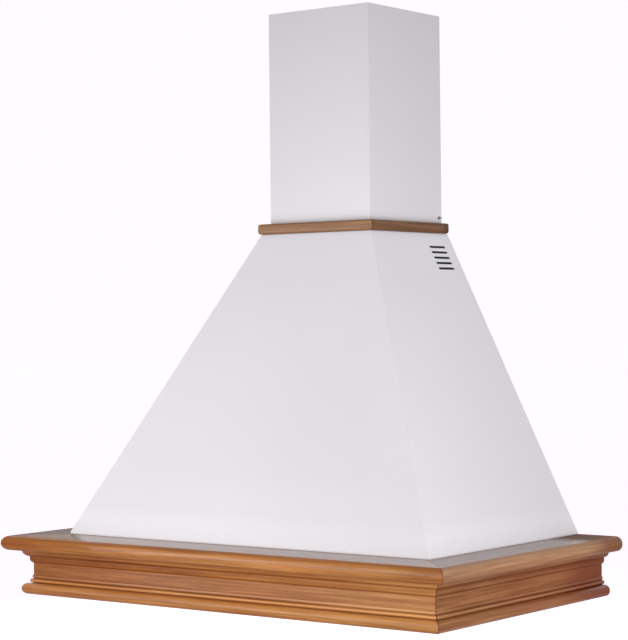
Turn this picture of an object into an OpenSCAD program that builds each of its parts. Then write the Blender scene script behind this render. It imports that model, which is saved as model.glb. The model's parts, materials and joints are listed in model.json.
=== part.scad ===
// Wall range hood: a steel canopy and chimney that stand on a moulded wooden cornice.
// Millimetres. The front faces -Y, the wall is the plane y = 0 and z = 0 is the underside of the wood.

/* [Chimney] */
// Outer width of the chimney cover
chimney_w = 222; // [216:1:228]
// Distance from the wall to the chimney's front face
chimney_d = 230; // [226:1:236]
// Height of the chimney's top edge
hood_h = 1040; // [1000:5:1200]
// Gap between the wall and the open backs of the chimney and the canopy
chimney_back = 4; // [3:0.5:5]
// Width of the lips folded in at the chimney's back edges
chimney_lip = 15; // [12:1:18]
// Gap between the chimney cover and the extension that slides in it
slide_gap = 1; // [0.8:0.1:1.5]
// Height of the extension
extension_h = 352; // [320:1:352]

/* [Canopy] */
// Width of the canopy at its top ledge
canopy_top_w = 246; // [242:1:250]
// Distance from the wall to the front of the top ledge
canopy_top_d = 242; // [240:1:250]
// Setback of the canopy's sides from the frieze below them
canopy_side_setback = 44; // [36:1:48]
// Setback of the canopy's front from the frieze below it
canopy_front_setback = 49; // [46:1:54]
// Height of the top ledge
canopy_top_z = 641.5; // [620:0.5:660]
// Width of the canopy's folded flanges
flange_w = 18; // [14:1:22]
// Thickness of the steel sheet
sheet_t = 1.2; // [1:0.1:1.4]

/* [Vent slots] */
// Number of slots in each side
slot_count = 5; // [1:1:8]
// Length of a slot
slot_l = 50; // [30:1:60]
// Height of a slot
slot_h = 4; // [3:0.5:5]
// Distance from the wall to the slots' rear ends
slot_back = 32.5; // [25:0.5:45]
// Height step from one slot to the next
slot_step = 9.8; // [8:0.2:12]
// Drop of the first slot below the top ledge
slot_drop = 26.5; // [20:0.5:40]

/* [Cornice] */
// Width of the cornice across its flat frieze
frieze_w = 868; // [860:2:880]
// Distance from the wall to the flat frieze
frieze_d = 518; // [512:1:524]
// Height of the whole cornice
cornice_h = 105.3; // [103:0.1:108]
// Thickness of the frieze board
frieze_t = 20; // [16:1:24]
// Thickness of the top shelf
shelf_t = 26; // [24:1:28]
// Overhang of the shelf's round nose beyond the frieze
shelf_nose = 41.4; // [36:0.2:46]
// Reach of the shelf inwards from the frieze face
shelf_in = 62; // [58:1:66]
// Radius of the upper quarter round under the shelf
ovolo_r = 12; // [10:0.5:13]
// Distance of that quarter round's centre from the frieze face
ovolo_out = 3; // [2:0.5:4]
// Projection of the small member under it
cyma_out = 5; // [4:0.5:6]
// Radius of the small member's round edge
cyma_r = 8; // [7:0.5:9]
// Height of the small member's square edge
cyma_h = 4.3; // [3:0.1:6]
// Radius of the bead above the base
bead_r = 3.4; // [2.5:0.1:4]
// Projection of the bead
bead_out = 4.9; // [4:0.1:6]
// Height of the bead's centre
bead_z = 24; // [23.5:0.1:26]
// Radius of the base's round nose
base_r = 10; // [8:0.1:10.2]
// Overhang of the base beyond the frieze
base_out = 15.7; // [13:0.1:18]

/* [Chimney trim] */
// Height of the wooden strip round the chimney
trim_h = 18.3; // [15:0.1:22]
// Thickness of the strip
trim_t = 16.3; // [14:0.1:19]
// Radius of the strip's rounded edges
trim_r = 4; // [2:0.5:6]

/* [Underside] */
// Height of the underside pan's lower face
pan_z = 22; // [21:0.5:26]
// Height of the pan's upturned rim
pan_rim = 40; // [36:1:42]
// Width of a filter opening
filter_w = 320; // [310:1:326]
// Depth of a filter opening
filter_d = 310; // [300:1:312]
// Width of the rib between the filters
filter_rib = 16; // [14:1:24]
// Width of the pan's strip in front of the filters
front_strip = 97.7; // [94:0.1:100]
// Thickness of a grease filter
filter_t = 9; // [8:0.5:10]
// Gap round a filter
filter_gap = 0.8; // [0.6:0.1:1]
// Gap behind a filter, for its swing
filter_rear_gap = 4; // [4:0.5:5]
// Travel of a filter's latch
latch_travel = 7; // [5:0.5:7]

/* [Lamps and controls] */
// Distance from the middle to each lamp
lamp_x = 290; // [240:5:310]
// Radius of a lamp's opening in the pan
lamp_r = 32; // [28:1:34]
// Gap between the lamps' sockets and the shelf in front of them
lamp_gap = 2; // [1:0.5:4]
// Length of the control plate
control_l = 150; // [140:1:180]
// Depth of the control plate
control_d = 40; // [36:1:44]
// Travel of the speed slider through its four positions
speed_travel = 24; // [18:1:24]
// Travel of the lamp slider
light_travel = 8; // [6:1:10]

/* [Blower] */
// Distance from the wall to the blower's axis
blower_d = 200; // [196:1:206]
// Height of the blower's axis
blower_z = 340; // [330:1:345]
// Outer radius of the impeller
impeller_r = 80; // [76:1:82]
// Half the impeller's width
impeller_half = 56; // [50:1:58]
// Number of blades
blade_count = 36; // [24:1:44]
// Smallest radius of the scroll's spiral
scroll_r = 104; // [102:1:106]
// Growth of the spiral's radius in each quarter turn
scroll_step = 18; // [16:1:19]
// Half the inner width of the scroll
scroll_half = 64; // [62:1:66]
// Wall thickness of the scroll
scroll_t = 2; // [1.6:0.1:2.6]
// Height of the scroll's outlet above the axis
outlet_rise = 150; // [146:1:156]
// Radius of the air inlets
inlet_r = 62; // [58:1:64]
// Radius of the motor's casing
motor_r = 45; // [40:1:48]
// Radius of the motor's shaft
shaft_r = 4; // [3:0.5:5]
// Radial clearance of every turning shaft
running_gap = 0.05; // [0.03:0.01:0.08]

/* [Duct outlet] */
// Outer radius of the duct collar
collar_r = 75; // [60:1:76]
// Height of the duct collar
collar_h = 85; // [70:1:90]
// Wall thickness of the collar
collar_t = 1.5; // [1.2:0.1:2]
// Height of the outlet box under the collar
outlet_box_h = 25; // [20:1:30]
// Radius of the damper pins
damper_pin_r = 1.5; // [1:0.1:2]

/* [Mounting] */
// Spacing of the two upper wall holes
hang_spacing = 140; // [120:2:190]
// Height of the two upper wall holes
hang_z = 605; // [590:1:610]
// Radius of the upper wall holes
hang_r = 4; // [3:0.5:5]
// Spacing of the two lower wall holes
safety_spacing = 600; // [560:10:640]
// Height of the two lower wall holes
safety_z = 140; // [130:1:160]
// Radius of the lower wall holes
safety_r = 3; // [2.5:0.5:4]
// Spacing of the top bracket's two wall holes
bracket_spacing = 100; // [80:2:120]
// Radius of the brackets' wall holes
bracket_r = 2.5; // [2:0.5:3]
// Radius of the cable's way through the gland
gland_bore_r = 4.2; // [3.5:0.1:5]

/* [Hidden] */
$fn = 48;

// Seat gap between parts that rest on each other, cut margin, and reach of a tool past the solids
seat = 0.3;
cut = 1;
far = 1000;

// Heights and half widths that follow from the sizes above
shelf_z = cornice_h - shelf_t;
shelf_r = shelf_t / 2;
frieze_half = frieze_w / 2;
mitre_reach = shelf_nose + cut;
mitre_inset = shelf_in + cut;
canopy_bottom_w = frieze_w - 2 * canopy_side_setback;
canopy_bottom_d = frieze_d - canopy_front_setback;
chimney_half = chimney_w / 2;
inner_lip = 8;
panel_in = 10;

// Chimney brackets: their heights, sheet and tabs
lower_bracket_z = canopy_top_z + 13.5;
bracket_h = 30;
bracket_t = 1.5;
tab_l = 14;
screw_z = lower_bracket_z + bracket_h / 2;
screw_y = chimney_back + 9.5;
extension_z = lower_bracket_z + bracket_h + seat;
extension_top = extension_z + extension_h;
cover_inner = chimney_half - sheet_t;
extension_half = cover_inner - slide_gap;
extension_inner = extension_half - sheet_t;
extension_back = chimney_back + sheet_t + slide_gap;
extension_front = chimney_d - sheet_t - slide_gap;

// Underside pan and filters
pan_top = pan_z + sheet_t;
pan_half = frieze_half - frieze_t - seat;
pan_front = frieze_d - frieze_t - seat;
pan_back = sheet_t + seat;
pan_rim_z = pan_z + pan_rim;
filter_x = filter_rib / 2 + filter_w / 2;
filter_front = pan_front - front_strip;
filter_back = filter_front - filter_d;
frame_half = filter_w / 2 - filter_gap;
frame_z = pan_z - 2;
frame_top = frame_z + filter_t;
frame_rear = filter_back + filter_rear_gap;
frame_front = filter_front - filter_gap;
frame_t = 1;
frame_edge = 12;
latch_zone = 40;
bead_gap = 0.05;
mesh_front = frame_front - latch_zone;
tongue_x = 90;
tongue_half = 10;
tongue_l = 8;
latch_half = 10;
bolt_gap = 0.4;
latch_bolt = 30;
latch_stem_half = 6;
latch_stem_l = 7;
latch_stem_back = 14;
latch_tab_half = 16;
latch_tab_h = 3.5;
spring_r = 1.6;
spring_wire = 0.35;
spring_turns = 6;

// Lamps and sliders
socket_r = 12;
socket_h = 10;
socket_neck_r = 8.5;
socket_neck_h = 6;
bulb_r = 4.5;
bulb_l = 10;
bulb_press = [9, 5, 7];
bulb_pin_r = 0.5;
bulb_pin_x = 2;
bulb_pin_l = 8;
lamp_row = frieze_d - shelf_in - socket_r - lamp_gap;
bezel_out = lamp_r + 6;
bezel_t = 2;
bezel_in = lamp_r - 6;
bezel_lip = 0.8;
lens_r = lamp_r - 3.4;
lens_t = 2;
reflector_r = lamp_r - 1.3;
reflector_h = 38;
knob_l = 12;
knob_d = 9;
knob_h = 3;
stem_l = 4;
stem_d = 2.6;
stem_top = pan_z + 12;
speed_x = -30;
light_x = 38;
control_t = 2.5;
switch_h = 24;
switch_d = 22;

// Blower and its outlet
outlet_left = 27;
outlet_right = scroll_step / 2 + scroll_r + 2 * scroll_step;
outlet_z = blower_z + outlet_rise;
scroll_out = scroll_half + scroll_t;
duct_y = -blower_d + (outlet_left + outlet_right) / 2;
outlet_box_half = collar_r + 5;
outlet_box_top = outlet_z + outlet_box_h;
collar_flange = 2;
damper_z = outlet_box_top + 42;
damper_off = 4;
damper_t = 1.2;
damper_r = collar_r - collar_t - 1;
damper_stop = 6;
damper_end = 0.5;
boss_r = 6;
boss_hole_r = 2.1;
boss_out = scroll_t + 3;
blade_in = impeller_r - 16;
blade_r = 12;
blade_t = 0.8;
hub_r = 11;
hub_half = 12;
motor_end = 14;
arm_x = scroll_out + 2;
arm_leg = 40;
arm_reach = 104;
arm_bolt_d = 92;
arm_z = blower_z - 30;
arm_h = 90;
arm_hole_in = 15;
arm_holes = [arm_hole_in, arm_h - arm_hole_in];
arm_t = 2;
arm_screw_head_r = 4;
arm_screw_head_h = 2.4;
grommet_r = 8;

// Terminal box and capacitor on the back panel
box_x = 120;
box_half = 45;
box_z = 230;
box_h = 70;
box_d = 42;
box_t = 2;
gland_x = box_x - 25;
gland_r = 9;
gland_h = 22;
capacitor_x = -150;
capacitor_r = 16;
capacitor_h = 62;
capacitor_z = 290;
strap_t = 1;
strap_h = 12;

// Screws and braces
pan_screw_z = pan_z + 22;
pan_screw_r = 1.8;
pan_screw_l = 14;
pan_screw_x = 220;
pan_screw_y = [120, 360];
brace_l = 42;
brace_t = 2;
brace_z = pan_rim_z + 3;
brace_h = shelf_z - brace_z - 1.5;
brace_screw_r = 1.6;
brace_screw_l = 13;
brace_hole = 28;
screw_head_r = 3.2;
screw_head_h = 1.8;
canopy_screw_r = 1.8;
canopy_screw_l = 16;
canopy_screw_in = 6;
canopy_screw_x = 250;
canopy_screw_y = [60, 240];
chimney_screw_r = 1.5;
top_bracket_z = extension_top - bracket_h - 8;

// Filter mesh, springs and lamp levels
mesh_layer_t = 1.4;
mesh_pitch = 14;
mesh_slot = 10;
spring_sides = 6;
spring_steps = 10;
reflector_z = pan_z + 8.2;
socket_z = reflector_z + reflector_h;

// Box between two opposite corners
module block(low, high) {
    translate(low)
        cube(high - low);
}

// Part and its mirror image across the middle plane
module both_sides() {
    children();
    mirror([1, 0, 0])
        children();
}

// Cylinder along +X or +Y from a point
module rod_x(start, length, r) {
    translate(start)
        rotate([0, 90, 0])
            cylinder(h = length, r = r);
}

module rod_y(start, length, r) {
    translate(start)
        rotate([-90, 0, 0])
            cylinder(h = length, r = r);
}

// Bar of a moulding along the front, mitred at both corners
module front_bar(half, depth, z, h) {
    intersection() {
        rotate([90, 0, 90])
            linear_extrude(height = 2 * (half + mitre_reach), center = true)
                translate([-depth, 0])
                    mirror([1, 0])
                        children();
        translate([0, 0, z - cut])
            linear_extrude(height = h + 2 * cut)
                polygon([
                    [-half - mitre_reach, -depth - mitre_reach],
                    [half + mitre_reach, -depth - mitre_reach],
                    [half - mitre_inset, -depth + mitre_inset],
                    [-half + mitre_inset, -depth + mitre_inset]
                ]);
    }
}

// Bar of a moulding along the right side, mitred at the front and square at the back
module side_bar(half, depth, back, z, h) {
    intersection() {
        translate([0, -back, 0])
            rotate([90, 0, 0])
                linear_extrude(height = depth - back + mitre_reach)
                    translate([half, 0])
                        children();
        translate([0, 0, z - cut])
            linear_extrude(height = h + 2 * cut)
                polygon([
                    [half + mitre_reach, -depth - mitre_reach],
                    [half + mitre_reach, cut],
                    [half - mitre_inset, cut],
                    [half - mitre_inset, -depth + mitre_inset]
                ]);
    }
}

// Top shelf of the cornice, with a full round nose
module shelf_profile() {
    translate([-shelf_in, shelf_z])
        square([shelf_in + shelf_nose - shelf_r, shelf_t]);
    translate([shelf_nose - shelf_r, shelf_z + shelf_r])
        circle(r = shelf_r);
}

// Frieze board: quarter round and small member at the top, bead and round nose at the base
module frieze_profile() {
    cyma_top = shelf_z - ovolo_r;
    translate([-frieze_t, 0])
        square([frieze_t, shelf_z]);
    intersection() {
        translate([ovolo_out, shelf_z])
            circle(r = ovolo_r);
        translate([-cut, shelf_z - ovolo_r - cut])
            square([ovolo_out + ovolo_r + 2 * cut, ovolo_r + cut]);
    }
    translate([-cut, cyma_top])
        square([ovolo_out + cut, ovolo_r]);
    translate([-cut, cyma_top - cyma_h])
        square([cyma_out + cut, cyma_h]);
    intersection() {
        translate([cyma_out - cyma_r, cyma_top - cyma_h])
            circle(r = cyma_r);
        translate([-cut, cyma_top - cyma_h - cyma_r])
            square([cyma_out + 2 * cut, cyma_r]);
    }
    translate([bead_out - bead_r, bead_z])
        circle(r = bead_r);
    translate([-cut, 0])
        square([base_out - base_r + cut, 2 * base_r]);
    translate([base_out - base_r, base_r])
        circle(r = base_r);
}

// Strip with two rounded outer edges
module trim_profile() {
    translate([seat, canopy_top_z])
        square([trim_t - trim_r - seat, trim_h]);
    translate([seat, canopy_top_z + trim_r])
        square([trim_t - seat, trim_h - 2 * trim_r]);
    for (z = [trim_r, trim_h - trim_r])
        translate([trim_t - trim_r, canopy_top_z + z])
            circle(r = trim_r);
}

// Pilot holes in the frieze for the pan's screws and the corner braces
module pan_screw_shanks(r) {
    both_sides() {
        rod_y([pan_screw_x, -pan_front - pan_screw_l + sheet_t, pan_screw_z], pan_screw_l, r);
        for (y = pan_screw_y)
            rod_x([pan_half - sheet_t, -y, pan_screw_z], pan_screw_l, r);
    }
}

module brace_screw_shanks(r) {
    corner_x = frieze_half - frieze_t;
    corner_y = -frieze_d + frieze_t;
    screw_height = brace_z + brace_h / 2;
    both_sides() {
        rod_x([corner_x - brace_t, corner_y + brace_hole, screw_height], brace_screw_l, r);
        rod_y(
            [corner_x - brace_hole, corner_y + brace_t - brace_screw_l, screw_height],
            brace_screw_l, r
        );
    }
}

module canopy_screw_shanks(r) {
    both_sides() {
        translate([canopy_screw_x, -canopy_bottom_d + canopy_screw_in, cornice_h + sheet_t])
            mirror([0, 0, 1])
                cylinder(h = canopy_screw_l, r = r);
        for (y = canopy_screw_y)
            translate([canopy_bottom_w / 2 - canopy_screw_in, -y, cornice_h + sheet_t])
                mirror([0, 0, 1])
                    cylinder(h = canopy_screw_l, r = r);
    }
}

module shelf_front() {
    color("peru")
        difference() {
            front_bar(frieze_half, frieze_d, shelf_z, shelf_t)
                shelf_profile();
            canopy_screw_shanks(canopy_screw_r + running_gap);
        }
}

module shelf_side() {
    color("peru")
        difference() {
            side_bar(frieze_half, frieze_d, 0, shelf_z, shelf_t)
                shelf_profile();
            canopy_screw_shanks(canopy_screw_r + running_gap);
        }
}

module shelf_left() {
    mirror([1, 0, 0])
        shelf_side();
}

module shelf_right() {
    shelf_side();
}

module frieze_front() {
    color("sienna")
        difference() {
            front_bar(frieze_half, frieze_d, 0, shelf_z)
                frieze_profile();
            pan_screw_shanks(pan_screw_r + running_gap);
            brace_screw_shanks(brace_screw_r + running_gap);
        }
}

module frieze_side() {
    color("sienna")
        difference() {
            side_bar(frieze_half, frieze_d, 0, 0, shelf_z)
                frieze_profile();
            pan_screw_shanks(pan_screw_r + running_gap);
            brace_screw_shanks(brace_screw_r + running_gap);
        }
}

module frieze_left() {
    mirror([1, 0, 0])
        frieze_side();
}

module frieze_right() {
    frieze_side();
}

module trim_front() {
    color("peru")
        front_bar(chimney_half, chimney_d, canopy_top_z, trim_h)
            trim_profile();
}

module trim_left() {
    mirror([1, 0, 0])
        trim_right();
}

module trim_right() {
    color("peru")
        side_bar(chimney_half, chimney_d, chimney_back, canopy_top_z, trim_h)
            trim_profile();
}

// Steel angles inside the two front corners of the frieze
module corner_braces() {
    corner_x = frieze_half - frieze_t;
    corner_y = -frieze_d + frieze_t;
    color("silver")
        difference() {
            both_sides() {
                block(
                    [corner_x - brace_l, corner_y, brace_z],
                    [corner_x, corner_y + brace_t, brace_z + brace_h]
                );
                block(
                    [corner_x - brace_t, corner_y, brace_z],
                    [corner_x, corner_y + brace_l, brace_z + brace_h]
                );
            }
            brace_screw_shanks(brace_screw_r + running_gap);
        }
}

// Half width and front distance of the canopy's outside at a height
function canopy_half(z) =
    (canopy_bottom_w + (canopy_top_w - canopy_bottom_w) * (z - cornice_h) / (canopy_top_z - cornice_h)) / 2;
function canopy_front(z) =
    canopy_bottom_d + (canopy_top_d - canopy_bottom_d) * (z - cornice_h) / (canopy_top_z - cornice_h);

// Plan of the canopy at a height, set in by an amount
module canopy_outline(z, inset, back) {
    half = canopy_half(z) - inset;
    translate([-half, -canopy_front(z) + inset])
        square([2 * half, canopy_front(z) - inset - back]);
}

// Solid within the canopy's sloping faces, set in by an amount, from a low to a high level
module canopy_solid(inset, back, low, high) {
    intersection() {
        rotate([90, 0, 0])
            linear_extrude(height = far)
                polygon([
                    [-canopy_half(low) + inset, low],
                    [canopy_half(low) - inset, low],
                    [canopy_half(high) - inset, high],
                    [-canopy_half(high) + inset, high]
                ]);
        rotate([90, 0, 90])
            linear_extrude(height = far, center = true)
                polygon([
                    [-canopy_front(low) + inset, low],
                    [-back, low],
                    [-back, high],
                    [-canopy_front(high) + inset, high]
                ]);
    }
}

// Sloping front and sides with flanges at the foot and the back, a ledge at the top and side slots
module canopy() {
    slot_reach = canopy_half(canopy_top_z - slot_drop - slot_count * slot_step) + cut;
    foot = 0.8 * sheet_t;
    color("white")
        difference() {
            union() {
                difference() {
                    canopy_solid(0, chimney_back, cornice_h, canopy_top_z);
                    canopy_solid(sheet_t, 0, cornice_h - cut, canopy_top_z + cut);
                }
                translate([0, 0, cornice_h])
                    linear_extrude(height = sheet_t)
                        difference() {
                            canopy_outline(cornice_h, foot, chimney_back);
                            canopy_outline(cornice_h, flange_w, -cut);
                        }
                block(
                    [-canopy_top_w / 2, -canopy_top_d, canopy_top_z - sheet_t],
                    [canopy_top_w / 2, -chimney_back, canopy_top_z]
                );
                both_sides()
                    translate([0, -chimney_back, 0])
                        rotate([90, 0, 0])
                            linear_extrude(height = sheet_t)
                                polygon([
                                    [canopy_half(cornice_h) - foot, cornice_h],
                                    [canopy_half(canopy_top_z) - foot, canopy_top_z],
                                    [canopy_half(canopy_top_z) - flange_w, canopy_top_z],
                                    [canopy_half(cornice_h) - flange_w, cornice_h]
                                ]);
            }
            block(
                [-chimney_half + inner_lip, -chimney_d + inner_lip, canopy_top_z - sheet_t - cut],
                [chimney_half - inner_lip, cut, canopy_top_z + cut]
            );
            for (i = [0:slot_count - 1])
                translate([0, 0, canopy_top_z - slot_drop - i * slot_step])
                    block(
                        [-slot_reach, -slot_back - slot_l, -slot_h / 2],
                        [slot_reach, -slot_back, slot_h / 2]
                    );
            canopy_screw_shanks(canopy_screw_r + 0.4);
        }
}

// Open-backed channel of sheet with lips folded in at the back
module channel(half, front, back, lip, low, high) {
    difference() {
        block([-half, -front, low], [half, -back, high]);
        block([-half + sheet_t, -front + sheet_t, low - cut], [half - sheet_t, -back - sheet_t, high + cut]);
        block([-half + lip, -front + sheet_t, low - cut], [half - lip, cut, high + cut]);
    }
}

module chimney_screw_shanks(r) {
    both_sides()
        rod_x([cover_inner - 3 * bracket_t, -screw_y, screw_z], 3 * bracket_t + sheet_t, r);
}

module chimney_cover() {
    color("white")
        difference() {
            channel(chimney_half, chimney_d, chimney_back, chimney_lip, canopy_top_z, hood_h);
            chimney_screw_shanks(chimney_screw_r + running_gap);
        }
}

module chimney_extension() {
    color("whitesmoke")
        channel(
            extension_half, extension_front, extension_back, chimney_lip - 3,
            extension_z, extension_top
        );
}

// Hat-shaped strip from the wall to the inner faces of a chimney section
module hat_bracket(side_half, throat_half, wing_y, low) {
    outer = side_half - 0.2;
    high = low + bracket_h;
    block([-throat_half, -bracket_t, low], [throat_half, 0, high]);
    both_sides() {
        block([throat_half - bracket_t, -wing_y, low], [throat_half, 0, high]);
        block([throat_half - bracket_t, -wing_y, low], [outer, -wing_y + bracket_t, high]);
        block([outer - bracket_t, -wing_y - tab_l, low], [outer, -wing_y + bracket_t, high]);
    }
}

module chimney_lower_bracket() {
    color("silver")
        difference() {
            hat_bracket(
                cover_inner, chimney_half - chimney_lip - 3, chimney_back + sheet_t + bracket_t + seat,
                lower_bracket_z
            );
            chimney_screw_shanks(chimney_screw_r + running_gap);
            for (x = [-bracket_spacing / 2, bracket_spacing / 2])
                rod_y([x, -bracket_t - cut, lower_bracket_z + bracket_h / 2], bracket_t + 2 * cut, bracket_r);
        }
}

module chimney_top_bracket() {
    color("silver")
        difference() {
            hat_bracket(
                extension_inner, chimney_half - chimney_lip - 6, extension_back + sheet_t + bracket_t + seat,
                top_bracket_z
            );
            for (x = [-bracket_spacing / 2, bracket_spacing / 2])
                rod_y([x, -bracket_t - cut, top_bracket_z + bracket_h / 2], bracket_t + 2 * cut, bracket_r);
        }
}

module chimney_screws() {
    color("dimgray") {
        chimney_screw_shanks(chimney_screw_r);
        both_sides()
            rod_x([chimney_half, -screw_y, screw_z], 1.8, 3);
    }
}

// Galvanised sheet against the wall, with holes to hang the hood and to fix its foot
module back_panel() {
    foot_half = frieze_half - frieze_t - seat;
    neck_half = frieze_half - shelf_in - seat;
    neck_top = cornice_h + sheet_t + seat;
    color("lightsteelblue")
        difference() {
            rotate([90, 0, 0])
                linear_extrude(height = sheet_t)
                    polygon([
                        [-foot_half, 0],
                        [foot_half, 0],
                        [foot_half, shelf_z - seat],
                        [neck_half, shelf_z - seat],
                        [neck_half, neck_top],
                        [canopy_half(neck_top) - panel_in, neck_top],
                        [canopy_half(canopy_top_z) - panel_in, canopy_top_z],
                        [-canopy_half(canopy_top_z) + panel_in, canopy_top_z],
                        [-canopy_half(neck_top) + panel_in, neck_top],
                        [-neck_half, neck_top],
                        [-neck_half, shelf_z - seat],
                        [-foot_half, shelf_z - seat]
                    ]);
            both_sides() {
                rod_y([hang_spacing / 2, -sheet_t - cut, hang_z], sheet_t + 2 * cut, hang_r);
                rod_y([safety_spacing / 2, -sheet_t - cut, safety_z], sheet_t + 2 * cut, safety_r);
            }
        }
}

// Sheet tray that closes the underside round the filters, lamps and controls
module underside_pan() {
    color("white")
        difference() {
            block([-pan_half, -pan_front, pan_z], [pan_half, -pan_back, pan_rim_z]);
            block(
                [-pan_half + sheet_t, -pan_front + sheet_t, pan_top],
                [pan_half - sheet_t, -pan_back - sheet_t, pan_rim_z + cut]
            );
            both_sides() {
                block(
                    [filter_x - filter_w / 2, -filter_front, pan_z - cut],
                    [filter_x + filter_w / 2, -filter_back, pan_top + cut]
                );
                translate([lamp_x, -lamp_row, pan_z - cut])
                    cylinder(h = sheet_t + 2 * cut, r = lamp_r);
            }
            block(
                [-control_l / 2 + 8, -lamp_row - 13, pan_z - cut],
                [control_l / 2 - 8, -lamp_row + 13, pan_top + cut]
            );
            pan_screw_shanks(pan_screw_r + 0.2);
        }
}

// Screws that hold the braces, the canopy's foot and the pan's rim to the wood
module wood_screws() {
    corner_x = frieze_half - frieze_t;
    corner_y = -frieze_d + frieze_t;
    screw_height = brace_z + brace_h / 2;
    color("gainsboro") {
        brace_screw_shanks(brace_screw_r);
        canopy_screw_shanks(canopy_screw_r);
        pan_screw_shanks(pan_screw_r);
        both_sides() {
            rod_x(
                [corner_x - brace_t - screw_head_h, corner_y + brace_hole, screw_height],
                screw_head_h, screw_head_r
            );
            rod_y([corner_x - brace_hole, corner_y + brace_t, screw_height], screw_head_h, screw_head_r);
            translate([canopy_screw_x, -canopy_bottom_d + canopy_screw_in, cornice_h + sheet_t])
                cylinder(h = screw_head_h, r = screw_head_r);
            for (y = canopy_screw_y)
                translate([canopy_bottom_w / 2 - canopy_screw_in, -y, cornice_h + sheet_t])
                    cylinder(h = screw_head_h, r = screw_head_r);
            rod_y([pan_screw_x, -pan_front + sheet_t, pan_screw_z], screw_head_h, screw_head_r);
            for (y = pan_screw_y)
                rod_x([pan_half - sheet_t - screw_head_h, -y, pan_screw_z], screw_head_h, screw_head_r);
        }
    }
}

// Folded frame of a grease filter: two rear tongues that roll on small beads, and a housing for its latch
module filter_frame() {
    color("lightgray")
        translate([filter_x, 0, 0])
            difference() {
                union() {
                    block([-frame_half, -frame_front, frame_z], [frame_half, -frame_rear, frame_top]);
                    for (x = [-tongue_x, tongue_x]) {
                        block(
                            [x - tongue_half, -frame_rear - cut, pan_top + seat],
                            [x + tongue_half, -filter_back + tongue_l, pan_top + seat + 1.5]
                        );
                        rod_x(
                            [x - tongue_half, -filter_back, pan_top + seat],
                            2 * tongue_half, seat - bead_gap
                        );
                    }
                }
                block(
                    [-frame_half + frame_edge, -mesh_front + frame_edge, frame_z - cut],
                    [frame_half - frame_edge, -frame_rear - frame_edge, frame_top + cut]
                );
                block(
                    [-frame_half + frame_t, -mesh_front + frame_t, frame_z + frame_t],
                    [frame_half - frame_t, -frame_rear - frame_t, frame_top - frame_t]
                );
                block(
                    [-frame_half + frame_t, -frame_front + frame_t, frame_z + frame_t],
                    [frame_half - frame_t, -mesh_front, frame_top - frame_t]
                );
                block(
                    [-latch_half - seat, -frame_front - cut, frame_z + frame_t],
                    [latch_half + seat, -mesh_front - cut, frame_top - 2 * frame_t]
                );
                block(
                    [-latch_stem_half - seat, -frame_front + latch_stem_back - seat, frame_z - cut],
                    [
                        latch_stem_half + seat,
                        -frame_front + latch_stem_back + latch_stem_l + latch_travel + seat,
                        frame_z + 2 * frame_t
                    ]
                );
            }
}

module filter_frame_left() {
    mirror([1, 0, 0])
        filter_frame();
}

module filter_frame_right() {
    filter_frame();
}

// Three sheets of slotted aluminium with their slots staggered
module filter_mesh() {
    mesh_half = frame_half - frame_t - seat;
    mesh_w = 2 * mesh_half;
    mesh_l = mesh_front - frame_rear - 2 * (frame_t + seat);
    layer_step = (filter_t - 2 * frame_t - 2 * 0.2 - mesh_layer_t) / 2;
    slots = floor((mesh_w - 2 * frame_edge - mesh_pitch) / mesh_pitch);
    color("gray")
        translate([filter_x, -frame_rear - frame_t - seat - mesh_l, frame_z + frame_t + 0.2])
            for (layer = [0:2])
                translate([-mesh_half, 0, layer * layer_step])
                    difference() {
                        cube([mesh_w, mesh_l, layer == 1 ? layer_step + mesh_layer_t : mesh_layer_t]);
                        for (i = [0:slots])
                            translate([frame_edge + (i + (layer % 2) / 2) * mesh_pitch, frame_edge, -cut])
                                cube([mesh_slot, mesh_l - 2 * frame_edge, filter_t]);
                    }
}

module filter_mesh_left() {
    mirror([1, 0, 0])
        filter_mesh();
}

module filter_mesh_right() {
    filter_mesh();
}

// Sprung bolt with a finger tab below the filter
module filter_latch() {
    bolt_y = -frame_front - bolt_gap;
    stem_y = -frame_front + latch_stem_back;
    bolt_z = frame_z + frame_t + 0.5;
    color("dimgray")
        translate([filter_x, 0, 0]) {
            block([-latch_half, bolt_y, bolt_z], [latch_half, bolt_y + latch_bolt, bolt_z + 4]);
            block(
                [-latch_stem_half, stem_y, frame_z - 0.5],
                [latch_stem_half, stem_y + latch_stem_l, bolt_z]
            );
            difference() {
                block(
                    [-latch_tab_half, stem_y - 6, frame_z - 0.5 - latch_tab_h],
                    [latch_tab_half, stem_y + latch_stem_l + 4, frame_z - 0.5]
                );
                rod_x(
                    [-latch_tab_half - cut, stem_y - 6, frame_z - 0.5 - latch_tab_h],
                    2 * latch_tab_half + 2 * cut, 2
                );
            }
        }
}

module filter_latch_left() {
    mirror([1, 0, 0])
        filter_latch();
}

module filter_latch_right() {
    filter_latch();
}

// Coil spring between a latch bolt and the wall behind it
function ring_points(centre, along, across, sides, r) =
    [for (k = [0:sides - 1]) centre + r * cos(360 * k / sides) * across + r * sin(360 * k / sides) * along];
module coil(length, r, wire, turns) {
    rings = turns * spring_steps;
    points = [
        for (i = [0:rings])
            let (a = 360 * i / spring_steps)
                each ring_points(
                    [r * cos(a), wire + (length - 2 * wire) * i / rings, r * sin(a)],
                    [0, 1, 0], [cos(a), 0, sin(a)], spring_sides, wire
                )
    ];
    sides = [
        for (i = [0:rings - 1], k = [0:spring_sides - 1])
            [
                i * spring_sides + k,
                i * spring_sides + (k + 1) % spring_sides,
                (i + 1) * spring_sides + (k + 1) % spring_sides,
                (i + 1) * spring_sides + k
            ]
    ];
    first = [for (k = [spring_sides - 1:-1:0]) k];
    last = [for (k = [0:spring_sides - 1]) rings * spring_sides + k];
    polyhedron(points = points, faces = concat(sides, [first], [last]));
}

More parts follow.
